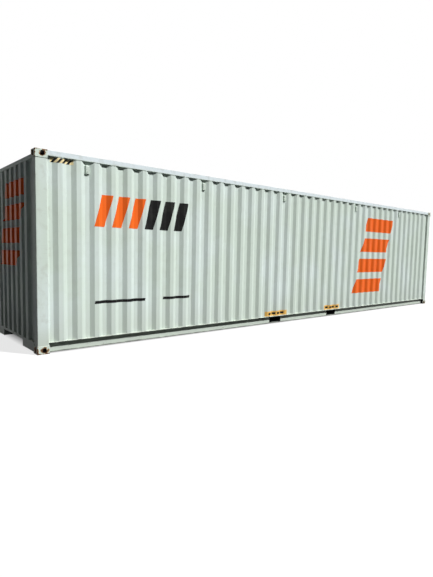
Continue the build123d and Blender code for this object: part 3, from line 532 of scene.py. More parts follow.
def stepped(line, normals, at):
    """The same line with two more points, a hair apart, where it passes the plane x = at."""
    k = np.flatnonzero(np.diff(line[:, 0] > at))[0] + 1
    before, after = line[k - 1], line[k]
    aside = np.sign(after[0] - before[0]) * HAIR
    share = (np.array([at - aside, at + aside]) - before[0]) / (after[0] - before[0])
    extra = before + share[:, None] * (after - before)
    shading = np.stack([normals[k - 1], normals[k]])
    return np.concatenate([line[:k], extra, line[k:]]), np.concatenate([normals[:k], shading, normals[k:]])


def side_line(sheets, node):
    """The rounded outer line of a side wall, and its outward normals."""
    low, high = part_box(node)
    span = high.x - low.x
    pitch = sheets.side_outer + sheets.side_inner + 2 * sheets.side_slope
    count = int((span - sheets.side_first) // pitch)
    bends = corrugation(
        span, sheets.side_first, sheets.side_outer, sheets.side_inner, sheets.side_slope, sheets.side_depth,
        count,
    )
    left = low.y < 0
    across = low.y + bends[:, 1] if left else high.y - bends[:, 1]
    corners = np.stack([low.x + bends[:, 0], across], axis=1)
    line, normals = rounded_line(corners, sheets.bend, sheets.bend_steps)
    return line, -normals if left else normals


def front_line(sheets):
    """The rounded outer line of the front wall, and its outward normals."""
    low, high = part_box("front_wall")
    span = high.y - low.y
    pitch = sheets.front_outer + sheets.front_inner + 2 * sheets.front_slope
    count = int((span - sheets.front_inner) // pitch)
    first = (span - count * pitch + sheets.front_inner) / 2
    bends = corrugation(
        span, first, sheets.front_outer, sheets.front_inner, sheets.front_slope, sheets.front_depth, count
    )
    corners = np.stack([low.x + bends[:, 1], low.y + bends[:, 0]], axis=1)
    return rounded_line(corners, sheets.bend, sheets.bend_steps)


def door_line(sheets, node):
    """The rounded outer line of a door sheet, and its outward normals."""
    low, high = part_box(node)
    span = high.y - low.y
    inner = span / sheets.door_ribs - sheets.door_outer - 2 * sheets.door_slope
    bends = corrugation(
        span, inner / 2, sheets.door_outer, inner, sheets.door_slope, sheets.side_depth, sheets.door_ribs
    )
    corners = np.stack([high.x - bends[:, 1], low.y + bends[:, 0]], axis=1)
    line, normals = rounded_line(corners, sheets.bend, sheets.bend_steps)
    return line, -normals


def wall_lines(sheets):
    """The outer line and the normals of each wall, by its node."""
    sides = {node: side_line(sheets, node) for node in ("left_side_wall", "right_side_wall")}
    return sides | {"front_wall": front_line(sheets)}


def door_lines(sheets):
    """The outer line and the normals of each door sheet, by its node."""
    return {node: door_line(sheets, node) for node in ("left_door_panel", "right_door_panel")}


def post_line(posts, sheets):
    """The rounded outer line of the left front post, from the side wall round the corner, and its normals."""
    corner = CAD_BOX[0]
    low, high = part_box("front_left_post")
    setback = low.x - corner.x
    side_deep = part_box("left_side_wall")[0].y - corner.y + sheets.side_depth
    end_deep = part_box("front_wall")[0].x - corner.x + sheets.front_depth
    side_end = posts.side + posts.side_return
    end_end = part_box("bottom_front_left_casting")[1].y - corner.y
    chain = np.array(
        [
            (high.x - corner.x, side_deep),
            (side_end, side_deep),
            (posts.side, setback),
            (setback, setback),
            (setback, posts.end),
            (end_deep, end_end),
            (end_deep, high.y - corner.y),
        ]
    )
    return rounded_line(chain + [corner.x, corner.y], posts.bend, posts.bend_steps)


def bead(line, normals, level, up, size):
    """A fillet weld between a bent wall and the face below or above it.

    At every point of the line its section is a quarter round: size * cos a along the normal and size * sin a
    away from the face, for a from 0 to 90 degrees, with its root a fifth of the size inside the steel.
    """
    root = -0.2
    angle = np.radians([0.0, 30.0, 60.0, 90.0])
    out = size * np.concatenate([[root], np.cos(angle)])
    rise = size * np.concatenate([[root], np.sin(angle)])
    flat = line[:, None] + normals[:, None] * out[:, None]
    height = np.broadcast_to(level + up * rise, flat.shape[:2])
    return closed_tube(np.concatenate([flat, height[..., None]], axis=-1))


def ribbed_roof(sheets, low, high):
    """The roof sheet: level, with a row of cross ribs, and the normals of its points.

    Its height is the sheet's level plus the ribs' height times two factors. One is the smooth step of the
    distance inwards from the long edges of a rib, the other that from its ends, both over the ramp's width.
    """
    span, reach, tall = high[0] - low[0], high[1], high[2] - low[2] - sheets.thickness
    count = int((span - sheets.roof_pitch) // sheets.roof_pitch)
    middles = (np.arange(count) - (count - 1) / 2) * sheets.roof_pitch
    ramp = sheets.roof_ramp * np.linspace(0.0, 1.0, sheets.roof_steps)
    edge = sheets.roof_rib / 2 - ramp
    end = reach - sheets.roof_margin - ramp
    ribs = middles[:, None] + np.concatenate([-edge, edge[::-1]])
    x = np.concatenate([[low[0]], ribs.ravel(), [high[0]]])
    y = np.concatenate([[-reach], -end, end[::-1], [reach]])
    nearest = middles[np.abs(x[:, None] - middles).argmin(axis=1)]
    inwards_x = np.clip((sheets.roof_rib / 2 - np.abs(x - nearest)) / sheets.roof_ramp, 0.0, 1.0)
    inwards_y = np.clip((end[0] - np.abs(y)) / sheets.roof_ramp, 0.0, 1.0)
    slope_x = -np.sign(x - nearest) * 6 * inwards_x * (1 - inwards_x) / sheets.roof_ramp
    slope_y = -np.sign(y) * 6 * inwards_y * (1 - inwards_y) / sheets.roof_ramp
    rib_x, rib_y = smooth(inwards_x)[:, None], smooth(inwards_y)[None]
    height = low[2] + sheets.thickness + tall * rib_x * rib_y
    top = np.stack(np.broadcast_arrays(x[:, None], y[None], height), axis=-1)
    away = unit(
        np.stack(
            np.broadcast_arrays(-tall * slope_x[:, None] * rib_y, -tall * rib_x * slope_y[None], 1.0), axis=-1
        )
    )
    shape = closed_slab(top, top - away * sheets.thickness)
    return shape, np.concatenate([away.reshape(-1, 3), -away.reshape(-1, 3)])


def ventilator(gear, low, high):
    """A moulded ventilator cover on the wall: a hood with round edges and louvres.

    Over u and v from -1 to 1 across and up, the hood stands off the wall by its depth times
    (1 - |u| ^ 10) ^ (1 / 3) times (1 - |v| ^ 14) ^ (1 / 3), less a smooth slope at its top and less three
    louvres, each a narrow smooth hollow across the lower half.
    """
    columns, rows = 25, 65
    shoulder, fall = 0.8, 0.25
    louvres, half_louvre = (-0.62, -0.34, -0.06), 0.09
    louvre_end, louvre_ramp = 0.86, 0.1
    sunk = 0.0008
    s, t = np.linspace(-1.0, 1.0, columns), np.linspace(-1.0, 1.0, rows)
    u = (np.sign(s) * (1 - (1 - np.abs(s)) ** 2))[None]
    v = (np.sign(t) * (1 - (1 - np.abs(t)) ** 1.5))[:, None]
    round_edge = np.cbrt(1 - np.abs(u) ** 10) * np.cbrt(1 - np.abs(v) ** 14)
    hood = (high[1] - low[1]) * round_edge * (1 - fall * smooth((v - shoulder) / (1 - shoulder)))
    hollow = sum(smooth(1 - np.abs(v - level) / half_louvre) for level in louvres)
    proud = hood - gear.louvre * hollow * smooth((louvre_end - np.abs(u)) / louvre_ramp)
    middle, half = (low + high) / 2, (high - low) / 2
    left = middle[1] < 0
    wall = high[1] if left else low[1]
    x, z = np.broadcast_arrays(middle[0] + half[0] * u, middle[2] + half[2] * v)
    y = wall - proud if left else wall + proud
    back = np.full_like(y, wall + sunk if left else wall - sunk)
    return closed_slab(np.stack([x, y, z], axis=-1), np.stack([x, back, z], axis=-1))


def hole_rim(middle, across, upright, outward, width, height, lip):
    """The rounded edge of an oval opening with straight sides.

    The oval's points are width / 2 times (cos a, sin a), with the upper and lower halves moved apart by
    height - width. A circle of the lip's radius goes round it, three fifths of a radius behind the face.
    """
    behind = 0.6
    a = (np.arange(RIM_STEPS) + 0.5) * 2 * np.pi / RIM_STEPS
    away = np.cos(a)[:, None] * across + np.sin(a)[:, None] * upright
    path = middle + width / 2 * away + (np.sign(np.sin(a)) * (height - width) / 2)[:, None] * upright
    b = np.arange(RIM_SIDES) * 2 * np.pi / RIM_SIDES
    section = np.cos(b)[:, None] * away[:, None] + (np.sin(b)[:, None] - behind) * outward
    return closed_loop(path[:, None] + lip * section)


def turned(x, y, height, radius):
    """A shape turned about an upright line: at each height a circle of its own radius, with flat ends."""
    angle = np.linspace(0.0, 2 * np.pi, TURNED_SIDES, endpoint=False)
    rings = np.stack(
        np.broadcast_arrays(
            x + radius[:, None] * np.cos(angle), y + radius[:, None] * np.sin(angle), height[:, None]
        ),
        axis=-1,
    )
    return closed_tube(rings)


def turned_bar(gear, x, y, low, high, collars):
    """A lock bar turned about an upright line, thicker at the levels of its collars.

    Its radius is the bar's, and at each collar it grows over the ramp to stand proud, and shrinks again.
    """
    half, foot = gear.collar_half, gear.collar_half + gear.collar_ramp
    levels = np.sort(collars)[:, None] + np.array([-foot, -half, half, foot])
    proud = np.tile([0.0, gear.collar, gear.collar, 0.0], len(collars))
    height = np.concatenate([[low], levels.ravel(), [high]])
    return turned(x, y, height, gear.bar + np.concatenate([[0.0], proud, [0.0]]))


def hinge_barrel(gear, x, y, low, high):
    """A knuckle of a hinge, turned about its pin: the knuckle's radius, less an eased edge at both ends."""
    edge = gear.knuckle_edge
    height = np.array([low, low + edge, high - edge, high])
    return turned(x, y, height, gear.knuckle - np.array([edge, 0.0, 0.0, edge]))


def hinge_pin(gear, x, y, low, high):
    """A headed pin, turned: the pin's radius up to its head, then the head's, both eased at their ends."""
    edge, neck = gear.knuckle_edge, high - gear.pin_head_height
    height = np.array([low, low + edge, neck, neck, high - edge, high])
    radius = np.array([gear.pin, gear.pin, gear.pin, gear.pin_head, gear.pin_head, gear.pin_head])
    return turned(x, y, height, radius - np.array([edge, 0.0, 0.0, 0.0, 0.0, edge]))


def forged_cam(gear, back, front, y, low, high):
    """A forged cam: a superellipse seen from its side, carried across the cam and smaller at both faces."""
    across = np.array([-0.5, -0.42, 0.42, 0.5]) * gear.cam_width
    share = np.array([0.88, 1.0, 1.0, 0.88])
    curve = superellipse(share * (front - back) / 2, share * (high - low) / 2, 5.0, 32)
    rings = np.stack(
        np.broadcast_arrays(
            (back + front) / 2 + curve[..., 0], y + across[:, None], (low + high) / 2 + curve[..., 1]
        ),
        axis=-1,
    )
    return closed_tube(rings)


def handle_lug(gear, start, end, y, level):
    """The lug between a lock bar and its handle: a superellipse carried outwards, smaller towards its end."""
    share = np.array([1.15, 1.0, 0.95])
    curve = superellipse(share * gear.lug_width / 2, share * gear.lug_height / 2, 4.0, 24)
    x = start + np.array([0.0, 0.7, 1.0]) * (end - start)
    rings = np.stack(np.broadcast_arrays(x[:, None], y + curve[..., 0], level + curve[..., 1]), axis=-1)
    return closed_tube(rings)


def flat_handle(gear, low, high):
    """A flat handle with round edges, broad at its hub and cranked at its tip, folded away from the middle.

    Its section is a superellipse. Going along it, the height falls smoothly from the hub's to the grip's,
    both ends close as the square root of 1 - (1 - d / R) ^ 2 within R of the end, where the thickness falls
    to two fifths, and from 0.85 to 0.95 of its length the tip moves out smoothly.
    """
    thinned, crank_from, crank_over = 0.4, 0.85, 0.1
    outside = high[1] > -low[1]
    span, close = high[1] - low[1], gear.handle_round
    rounding = close * (1 - np.cos(np.linspace(0.02, np.pi / 2, 6)[:-1]))
    along = np.concatenate([rounding, np.linspace(close, span - close, 40), span - rounding[::-1]])
    nearest = np.minimum(along, span - along)
    shut = np.sqrt(1 - (1 - np.clip(nearest / close, 0.0, 1.0)) ** 2)
    narrowed = smooth((along - gear.hub_end) / gear.hub_taper)
    tall = gear.handle_hub + (gear.handle_grip - gear.handle_hub) * narrowed
    thick = (high[0] - low[0]) / 2 * (thinned + (1 - thinned) * shut)
    out = gear.handle_crank * smooth((along / span - crank_from) / crank_over)
    curve = superellipse(thick, tall / 2 - close * (1 - shut), 5.0, 20)
    x, z = (low[0] + high[0]) / 2 + out[:, None], (low[2] + high[2]) / 2
    y = low[1] + along if outside else high[1] - along
    rings = np.stack(np.broadcast_arrays(x + curve[..., 0], y[:, None], z + curve[..., 1]), axis=-1)
    return closed_tube(rings)


def door_seal(gear, low, high):
    """The rubber seal round a door leaf: a section with two lips, carried round the leaf with mitred corners.

    Seen from the leaf's edge the section runs from the back to the front of the seal. Its lips stand off the
    edge by 0.55 + 0.45 * sin^2 of two half turns, times the seal's width, and its root lies on the leaf.
    """
    share = np.linspace(0.0, 1.0, 17)
    lips = gear.seal * (0.55 + 0.45 * np.sin(2 * np.pi * share) ** 2)
    off = np.concatenate([lips, [0.0, 0.0]])
    x = low[0] + (high[0] - low[0]) * np.concatenate([share, [1.0, 0.0]])
    side = np.array([(-1, -1), (1, -1), (1, 1), (-1, 1)])
    leaf = np.where(side < 0, low[1:] + gear.seal, high[1:] - gear.seal)
    flat = leaf[:, None] + side[:, None] * off[:, None]
    return closed_loop(np.concatenate([np.broadcast_to(x, flat.shape[:2])[..., None], flat], axis=-1))


def bolt_heads(places, radius):
    """Round bolt heads on washers, all facing the rear.

    The section steps from the washer's rim to the head's side, and closes as a dome of cos a and sin a.
    """
    a = np.radians([25.0, 50.0, 75.0])
    out = radius * np.concatenate([[1.6, 1.6, 1.0, 1.0], np.cos(a)])
    rise = radius * np.concatenate([[-0.1, 0.25, 0.32, 0.6], 0.6 + 0.45 * np.sin(a)])
    turn = np.linspace(0.0, 2 * np.pi, BOLT_SIDES, endpoint=False)
    rings = np.stack(
        np.broadcast_arrays(rise[:, None], out[:, None] * np.cos(turn), out[:, None] * np.sin(turn)), axis=-1
    )
    return repeated(closed_tube(rings), places)


def film(wall, start, width, lean, low, high, lift, thickness):
    """A bar of thin film that lies on a bent wall, leaning or upright, and the normals of its points.

    Its lower edge runs from start over the width, and its upper edge is moved on by the lean. So at the
    distance t past start the top is at low + t * (high - low) / lean, the foot is on the same slope one width
    further on, and both are kept between low and high.
    """
    along, line, normals = wall
    first, last = start + 2 * HAIR, start + width + lean - 2 * HAIR
    bends = along[(along > first) & (along < last)]
    corners = np.clip([first, start + lean, start + width, last], first, last)
    columns = np.unique(np.concatenate([bends, corners]))
    columns = columns[np.concatenate([[True], np.diff(columns) > HAIR])]
    if lean:
        rise = (high - low) / lean
        head = np.clip(low + (columns - start) * rise, low, high)
        foot = np.clip(low + (columns - start - width) * rise, low, high)
    else:
        foot, head = low, high
    flat = np.stack([np.interp(columns, along, line[:, k]) for k in (0, 1)], axis=1)
    away = unit(np.stack([np.interp(columns, along, normals[:, k]) for k in (0, 1)], axis=1))
    return standing_sheet(flat + away * lift, away, foot, head, thickness)


def read_along(line, normals, axis, way):
    """A wall's line in the order that a reader outside sees it, from left to right, with its distances."""
    order = np.argsort(way * line[:, axis])
    return way * line[order, axis], line[order], normals[order]


# Finishes
# A Mix node of colours takes its factor at input 0 and its colours at 6 and 7, and gives output 2.


def add(tree, kind, inputs=None, **settings):
    """Adds a node, with its settings, and with values or links for its inputs."""
    node = tree.nodes.new(kind)
    for name, value in settings.items():
        setattr(node, name, value)
    for key, value in (inputs or {}).items():
        if isinstance(value, bpy.types.NodeSocket):
            tree.links.new(value, node.inputs[key])
        else:
            node.inputs[key].default_value = value
    return node


def per_metre(millimetres):
    """The texture scale whose features are about that many millimetres apart."""
    return 1000.0 / millimetres


def new_material(name, **sockets):
    """A material with a principled shader, whose even values are set on the shader's own sockets."""
    material = bpy.data.materials.new(name)
    material.use_nodes = True
    tree = material.node_tree
    tree.nodes.clear()
    values = {key.replace("_", " "): value for key, value in sockets.items()}
    shader = add(tree, "ShaderNodeBsdfPrincipled", values)
    add(tree, "ShaderNodeOutputMaterial", {"Surface": shader.outputs[0]})
    return material, tree, shader


def paint_dirt(tree, place, height, clouds, stains, dust_top, splashed, stained, settled):
    """How dirty the paint is: rain streaks, road dust low down, stains, scuffs and dust on level faces.

    The dust of level faces is added to the greater of the streaks and the road dust, and the scuffs are added
    to the greater of that and the stains.
    """
    drawn = add(
        tree, "ShaderNodeMapping",
        {"Vector": place, "Scale": (per_metre(45), per_metre(45), per_metre(1300))},
    )
    rain = add(tree, "ShaderNodeTexNoise", {"Vector": drawn.outputs[0], "Scale": 1.0, "Detail": 3.0})
    streak = add(
        tree, "ShaderNodeMapRange",
        {"Value": rain.outputs[0], "From Min": 0.55, "From Max": 0.8, "To Max": 0.22},
    )
    splash = add(
        tree, "ShaderNodeMapRange",
        {"Value": height, "From Min": dust_top, "From Max": 0.05, "To Max": splashed},
        interpolation_type="SMOOTHSTEP",
    )
    dust = add(tree, "ShaderNodeMath", {0: splash.outputs[0], 1: clouds}, operation="MULTIPLY")
    stain = add(
        tree, "ShaderNodeMapRange", {"Value": stains, "From Min": 0.5, "From Max": 0.75, "To Max": stained}
    )
    smeared = add(
        tree, "ShaderNodeMapping",
        {"Vector": place, "Scale": (per_metre(150), per_metre(150), per_metre(16))},
    )
    smears = add(tree, "ShaderNodeTexNoise", {"Vector": smeared.outputs[0], "Scale": 1.0, "Detail": 4.0})
    scuff = add(
        tree, "ShaderNodeMapRange",
        {"Value": smears.outputs[0], "From Min": 0.6, "From Max": 0.72, "To Max": 0.5 * stained},
    )
    normal = add(tree, "ShaderNodeNewGeometry").outputs["True Normal"]
    facing = add(tree, "ShaderNodeSeparateXYZ", {0: normal})
    level = add(
        tree, "ShaderNodeMapRange",
        {"Value": facing.outputs["Z"], "From Min": 0.5, "From Max": 0.9, "To Max": settled},
    )
    dirt = add(tree, "ShaderNodeMath", {0: dust.outputs[0], 1: streak.outputs[0]}, operation="MAXIMUM")
    dirt = add(tree, "ShaderNodeMath", {0: dirt.outputs[0], 1: level.outputs[0]}, operation="ADD")
    dirt = add(tree, "ShaderNodeMath", {0: dirt.outputs[0], 1: stain.outputs[0]}, operation="MAXIMUM")
    dirt = add(tree, "ShaderNodeMath", {0: dirt.outputs[0], 1: scuff.outputs[0]}, operation="ADD")
    return dirt.outputs[0]


def paint_pits(tree, place, height, rust_top):
    """Where rust has come through the paint: a few specks, nearly all of them below the rust's top level."""
    edge = add(
        tree, "ShaderNodeMapRange",
        {"Value": height, "From Min": rust_top, "From Max": rust_top - 0.06, "To Max": 0.12},
    )
    specks = add(tree, "ShaderNodeTexNoise", {"Vector": place, "Scale": per_metre(28), "Detail": 5.0})
    eaten = add(tree, "ShaderNodeMath", {0: specks.outputs[0], 1: edge.outputs[0]}, operation="ADD")
    pitted = add(
        tree, "ShaderNodeMapRange",
        {"Value": eaten.outputs[0], "From Min": 0.8, "From Max": 0.86},
        interpolation_type="SMOOTHSTEP",
    )
    return pitted.outputs[0]


def sprayed_paint(name, colours, dust_top, splashed, rust_top, peel, stained, settled, bleached):
    """Marine alkyd topcoat sprayed on weathering steel, a little chalky.

    The eye sees a satin pale coat with broad cloudy bleaching, bleached most on the top rails, thin rain
    streaks that run down, small stains, faint scuffs, road dust near the ground, a few specks of rust along
    the lowest edge and a black band below it, partly underbody coating sprayed over and partly painted shade.
    """
    material, tree, shader = new_material(name, IOR=1.48, Specular_IOR_Level=0.2)
    place = add(tree, "ShaderNodeTexCoord").outputs["Object"]
    height = add(tree, "ShaderNodeSeparateXYZ", {0: place}).outputs["Z"]
    broad = add(tree, "ShaderNodeTexNoise", {"Vector": place, "Scale": per_metre(700), "Detail": 4.0})
    small = add(tree, "ShaderNodeTexNoise", {"Vector": place, "Scale": per_metre(110), "Detail": 7.0})
    clouds, stains = broad.outputs[0], small.outputs[0]
    bleach = add(
        tree, "ShaderNodeMapRange", {"Value": clouds, "From Min": 0.42, "From Max": 0.7, "To Max": 0.35}
    )
    skyward = add(
        tree, "ShaderNodeMapRange",
        {"Value": height, "From Min": BLEACH_LEVEL, "From Max": BLEACH_LEVEL + 0.015, "To Max": bleached},
    )
    faded = add(tree, "ShaderNodeMath", {0: bleach.outputs[0], 1: skyward.outputs[0]}, operation="MAXIMUM")
    dirt = paint_dirt(tree, place, height, clouds, stains, dust_top, splashed, stained, settled)
    pits = paint_pits(tree, place, height, rust_top)
    # Near black along the foot of the frame: partly underbody coating sprayed over, and partly painted shade
    # under the lower flange of the bottom rails.
    ragged = add(tree, "ShaderNodeMath", {0: stains, 1: 0.01, 2: height}, operation="MULTIPLY_ADD")
    overspray_and_shade = add(
        tree, "ShaderNodeMapRange", {"Value": ragged.outputs[0], "From Min": 0.031, "From Max": 0.024}
    )
    coat = add(
        tree, "ShaderNodeMix", {0: faded.outputs[0], 6: colours.paint, 7: colours.chalk}, data_type="RGBA"
    )
    dusty = add(tree, "ShaderNodeMix", {0: dirt, 6: coat.outputs[2], 7: colours.grime}, data_type="RGBA")
    rusty = add(tree, "ShaderNodeMix", {0: pits, 6: dusty.outputs[2], 7: colours.rust}, data_type="RGBA")
    skin = add(
        tree, "ShaderNodeMix",
        {0: overspray_and_shade.outputs[0], 6: rusty.outputs[2], 7: colours.underbody}, data_type="RGBA",
    )
    tree.links.new(skin.outputs[2], shader.inputs["Base Color"])
    gloss = add(tree, "ShaderNodeMapRange", {"Value": clouds, "To Min": 0.42, "To Max": 0.62})
    tree.links.new(gloss.outputs[0], shader.inputs["Roughness"])
    # Real orange peel is about 3 mm across; it is drawn coarser so that it shows.
    ripple = add(tree, "ShaderNodeTexNoise", {"Vector": place, "Scale": per_metre(peel), "Detail": 2.0})
    bump = add(tree, "ShaderNodeBump", {"Height": ripple.outputs[0], "Strength": 0.25, "Distance": 0.0006})
    tree.links.new(bump.outputs[0], shader.inputs["Normal"])
    return material


def panel_paint(colours):
    """The thin coat of the bent sheets."""
    return sprayed_paint(
        "panel_paint", colours,
        dust_top=0.9, splashed=0.45, rust_top=0.2, peel=14, stained=0.14, settled=0.55, bleached=0.0,
    )


def frame_paint(colours):
    """The heavier coat of the posts, rails and sills."""
    return sprayed_paint(
        "frame_paint", colours,
        dust_top=0.5, splashed=0.8, rust_top=0.14, peel=22, stained=0.42, settled=0.35, bleached=0.8,
    )


def casting_distances(tree, place):
    """How far inside the container's box a point lies: from its nearer end, nearer side, and foot or top."""
    high = CAD_BOX[1]
    split = add(tree, "ShaderNodeSeparateXYZ", {0: place})
    along = add(tree, "ShaderNodeMath", {0: split.outputs["X"]}, operation="ABSOLUTE")
    across = add(tree, "ShaderNodeMath", {0: split.outputs["Y"]}, operation="ABSOLUTE")
    height = split.outputs["Z"]
    from_end = add(tree, "ShaderNodeMath", {0: high.x, 1: along.outputs[0]}, operation="SUBTRACT")
    from_side = add(tree, "ShaderNodeMath", {0: high.y, 1: across.outputs[0]}, operation="SUBTRACT")
    from_top = add(tree, "ShaderNodeMath", {0: high.z, 1: height}, operation="SUBTRACT")
    from_level = add(tree, "ShaderNodeMath", {0: height, 1: from_top.outputs[0]}, operation="MINIMUM")
    return from_end.outputs[0], from_side.outputs[0], from_level.outputs[0]


def casting_wear(tree, place, distances, edge):
    """How worn a casting's paint is: chips, more of them near its edges, round its holes and low down."""
    from_end, from_side, from_level = distances
    sizes = bpy.context.scene.container_castings
    chips = add(tree, "ShaderNodeTexNoise", {"Vector": place, "Scale": per_metre(40), "Detail": 6.0})
    near = add(
        tree, "ShaderNodeMapRange",
        {"Value": edge, "From Min": 0.026, "From Max": 0.001, "To Min": -0.25, "To Max": 0.16},
    )
    off_x = add(tree, "ShaderNodeMath", {0: from_end, 1: sizes.from_end}, operation="SUBTRACT")
    off_y = add(tree, "ShaderNodeMath", {0: from_side, 1: sizes.from_side}, operation="SUBTRACT")
    off_z = add(tree, "ShaderNodeMath", {0: from_level, 1: sizes.hole_level}, operation="SUBTRACT")
    in_side = add(tree, "ShaderNodeCombineXYZ", {"X": off_x.outputs[0], "Z": off_z.outputs[0]})
    in_end = add(tree, "ShaderNodeCombineXYZ", {"Y": off_y.outputs[0], "Z": off_z.outputs[0]})
    side_ring = add(tree, "ShaderNodeVectorMath", {0: in_side.outputs[0]}, operation="LENGTH")
    end_ring = add(tree, "ShaderNodeVectorMath", {0: in_end.outputs[0]}, operation="LENGTH")
    ring = add(
        tree, "ShaderNodeMath",
        {0: side_ring.outputs["Value"], 1: end_ring.outputs["Value"]}, operation="MINIMUM",
    )
    round_hole = add(
        tree, "ShaderNodeMapRange",
        {"Value": ring.outputs[0], "From Min": 0.072, "From Max": 0.036, "To Min": -0.25, "To Max": 0.12},
    )
    height = add(tree, "ShaderNodeSeparateXYZ", {0: place}).outputs["Z"]
    dragged = add(
        tree, "ShaderNodeMapRange", {"Value": height, "From Min": 0.2, "From Max": 0.0, "To Max": 0.14}
    )
    spot = add(tree, "ShaderNodeMath", {0: near.outputs[0], 1: round_hole.outputs[0]}, operation="MAXIMUM")
    spot = add(tree, "ShaderNodeMath", {0: spot.outputs[0], 1: dragged.outputs[0]}, operation="ADD")
    return add(tree, "ShaderNodeMath", {0: chips.outputs[0], 1: spot.outputs[0]}, operation="ADD").outputs[0]


def casting_steel(colours):
    """Cast steel under paint that handling has worn away.

    The eye sees the topcoat on the faces, primer and brown rust on the outer edges and round the holes, most
    on the lower castings, rust and painted shade near black in the cavity, and a grainy sand-cast skin.
    """
    material, tree, shader = new_material("casting_steel", IOR=1.48, Roughness=0.62, Specular_IOR_Level=0.2)
    place = add(tree, "ShaderNodeTexCoord").outputs["Object"]
    distances = casting_distances(tree, place)
    from_end, from_side, from_level = distances
    # The middle one of the three distances is that from the nearest outer edge.
    least = add(tree, "ShaderNodeMath", {0: from_end, 1: from_side}, operation="MINIMUM")
    most = add(tree, "ShaderNodeMath", {0: from_end, 1: from_side}, operation="MAXIMUM")
    capped = add(tree, "ShaderNodeMath", {0: most.outputs[0], 1: from_level}, operation="MINIMUM")
    edge = add(tree, "ShaderNodeMath", {0: least.outputs[0], 1: capped.outputs[0]}, operation="MAXIMUM")
    # The least one is the depth below the outer faces, so it is deep only in the cavity.
    depth = add(tree, "ShaderNodeMath", {0: least.outputs[0], 1: from_level}, operation="MINIMUM")
    # Deep in the cavity the colour goes near black: real rust and grease, darkened further as painted shade
    # in the hollow.
    cavity = add(
        tree, "ShaderNodeMapRange", {"Value": depth.outputs[0], "From Min": 0.003, "From Max": 0.012}
    )
    worn = casting_wear(tree, place, distances, edge.outputs[0])
    primer = add(tree, "ShaderNodeMapRange", {"Value": worn, "From Min": 0.5, "From Max": 0.56})
    rusty = add(tree, "ShaderNodeMapRange", {"Value": worn, "From Min": 0.57, "From Max": 0.66})
    coat = add(
        tree, "ShaderNodeMix", {0: primer.outputs[0], 6: colours.paint, 7: colours.bare}, data_type="RGBA"
    )
    rind = add(
        tree, "ShaderNodeMix", {0: rusty.outputs[0], 6: coat.outputs[2], 7: colours.rust}, data_type="RGBA"
    )
    skin = add(
        tree, "ShaderNodeMix", {0: cavity.outputs[0], 6: rind.outputs[2], 7: colours.cavity}, data_type="RGBA"
    )
    tree.links.new(skin.outputs[2], shader.inputs["Base Color"])
    grain = add(tree, "ShaderNodeTexNoise", {"Vector": place, "Scale": per_metre(7), "Detail": 3.0})
    bump = add(tree, "ShaderNodeBump", {"Height": grain.outputs[0], "Strength": 0.4, "Distance": 0.0012})
    tree.links.new(bump.outputs[0], shader.inputs["Normal"])
    return material


def underframe_coating(colours):
    """Wax and bitumen underbody coating, brushed thick: matt black with dust in its ridges."""
    material, tree, shader = new_material("underframe_coating", IOR=1.5, Specular_IOR_Level=0.2)
    place = add(tree, "ShaderNodeTexCoord").outputs["Object"]
    dabs = add(tree, "ShaderNodeTexNoise", {"Vector": place, "Scale": per_metre(60), "Detail": 5.0})
    dust = add(
        tree, "ShaderNodeMapRange",
        {"Value": dabs.outputs[0], "From Min": 0.5, "From Max": 0.8, "To Max": 0.16},
    )
    skin = add(
        tree, "ShaderNodeMix", {0: dust.outputs[0], 6: colours.underbody, 7: colours.grime}, data_type="RGBA"
    )
    tree.links.new(skin.outputs[2], shader.inputs["Base Color"])
    gloss = add(tree, "ShaderNodeMapRange", {"Value": dabs.outputs[0], "To Min": 0.6, "To Max": 0.9})
    tree.links.new(gloss.outputs[0], shader.inputs["Roughness"])
    bump = add(tree, "ShaderNodeBump", {"Height": dabs.outputs[0], "Strength": 0.5, "Distance": 0.002})
    tree.links.new(bump.outputs[0], shader.inputs["Normal"])
    return material


def galvanised_gear(colours):
    """Hot-dip galvanised steel: dull grey metal with a spangle of flat crystals and some white bloom."""
    material, tree, shader = new_material("galvanised_gear", Metallic=0.85)
    place = add(tree, "ShaderNodeTexCoord").outputs["Object"]
    crystals = add(tree, "ShaderNodeTexVoronoi", {"Vector": place, "Scale": per_metre(14)})
    tone = add(tree, "ShaderNodeRGBToBW", {0: crystals.outputs["Color"]})
    shade = add(tree, "ShaderNodeMapRange", {"Value": tone.outputs[0], "To Max": 0.4})
    bloom = add(tree, "ShaderNodeTexNoise", {"Vector": place, "Scale": per_metre(90), "Detail": 4.0})
    stain = add(
        tree, "ShaderNodeMapRange",
        {"Value": bloom.outputs[0], "From Min": 0.55, "From Max": 0.75, "To Max": 0.5},
    )
    metal = add(
        tree, "ShaderNodeMix", {0: shade.outputs[0], 6: colours.zinc, 7: colours.zinc_dark}, data_type="RGBA"
    )
    skin = add(
        tree, "ShaderNodeMix",
        {0: stain.outputs[0], 6: metal.outputs[2], 7: colours.zinc_bloom}, data_type="RGBA",
    )
    tree.links.new(skin.outputs[2], shader.inputs["Base Color"])
    gloss = add(tree, "ShaderNodeMapRange", {"Value": tone.outputs[0], "To Min": 0.38, "To Max": 0.58})
    tree.links.new(gloss.outputs[0], shader.inputs["Roughness"])
    return material


def seal_rubber(colours):
    """Extruded EPDM rubber: black, with a grey dusty bloom and a slightly uneven skin."""
    material, tree, shader = new_material("seal_rubber", IOR=1.52, Roughness=0.72)
    place = add(tree, "ShaderNodeTexCoord").outputs["Object"]
    bloom = add(tree, "ShaderNodeTexNoise", {"Vector": place, "Scale": per_metre(35), "Detail": 4.0})
    dust = add(
        tree, "ShaderNodeMapRange",
        {"Value": bloom.outputs[0], "From Min": 0.4, "From Max": 0.8, "To Max": 0.2},
    )
    skin = add(
        tree, "ShaderNodeMix", {0: dust.outputs[0], 6: colours.rubber, 7: colours.grime}, data_type="RGBA"
    )
    tree.links.new(skin.outputs[2], shader.inputs["Base Color"])
    bump = add(tree, "ShaderNodeBump", {"Height": bloom.outputs[0], "Strength": 0.2, "Distance": 0.0008})
    tree.links.new(bump.outputs[0], shader.inputs["Normal"])
    return material


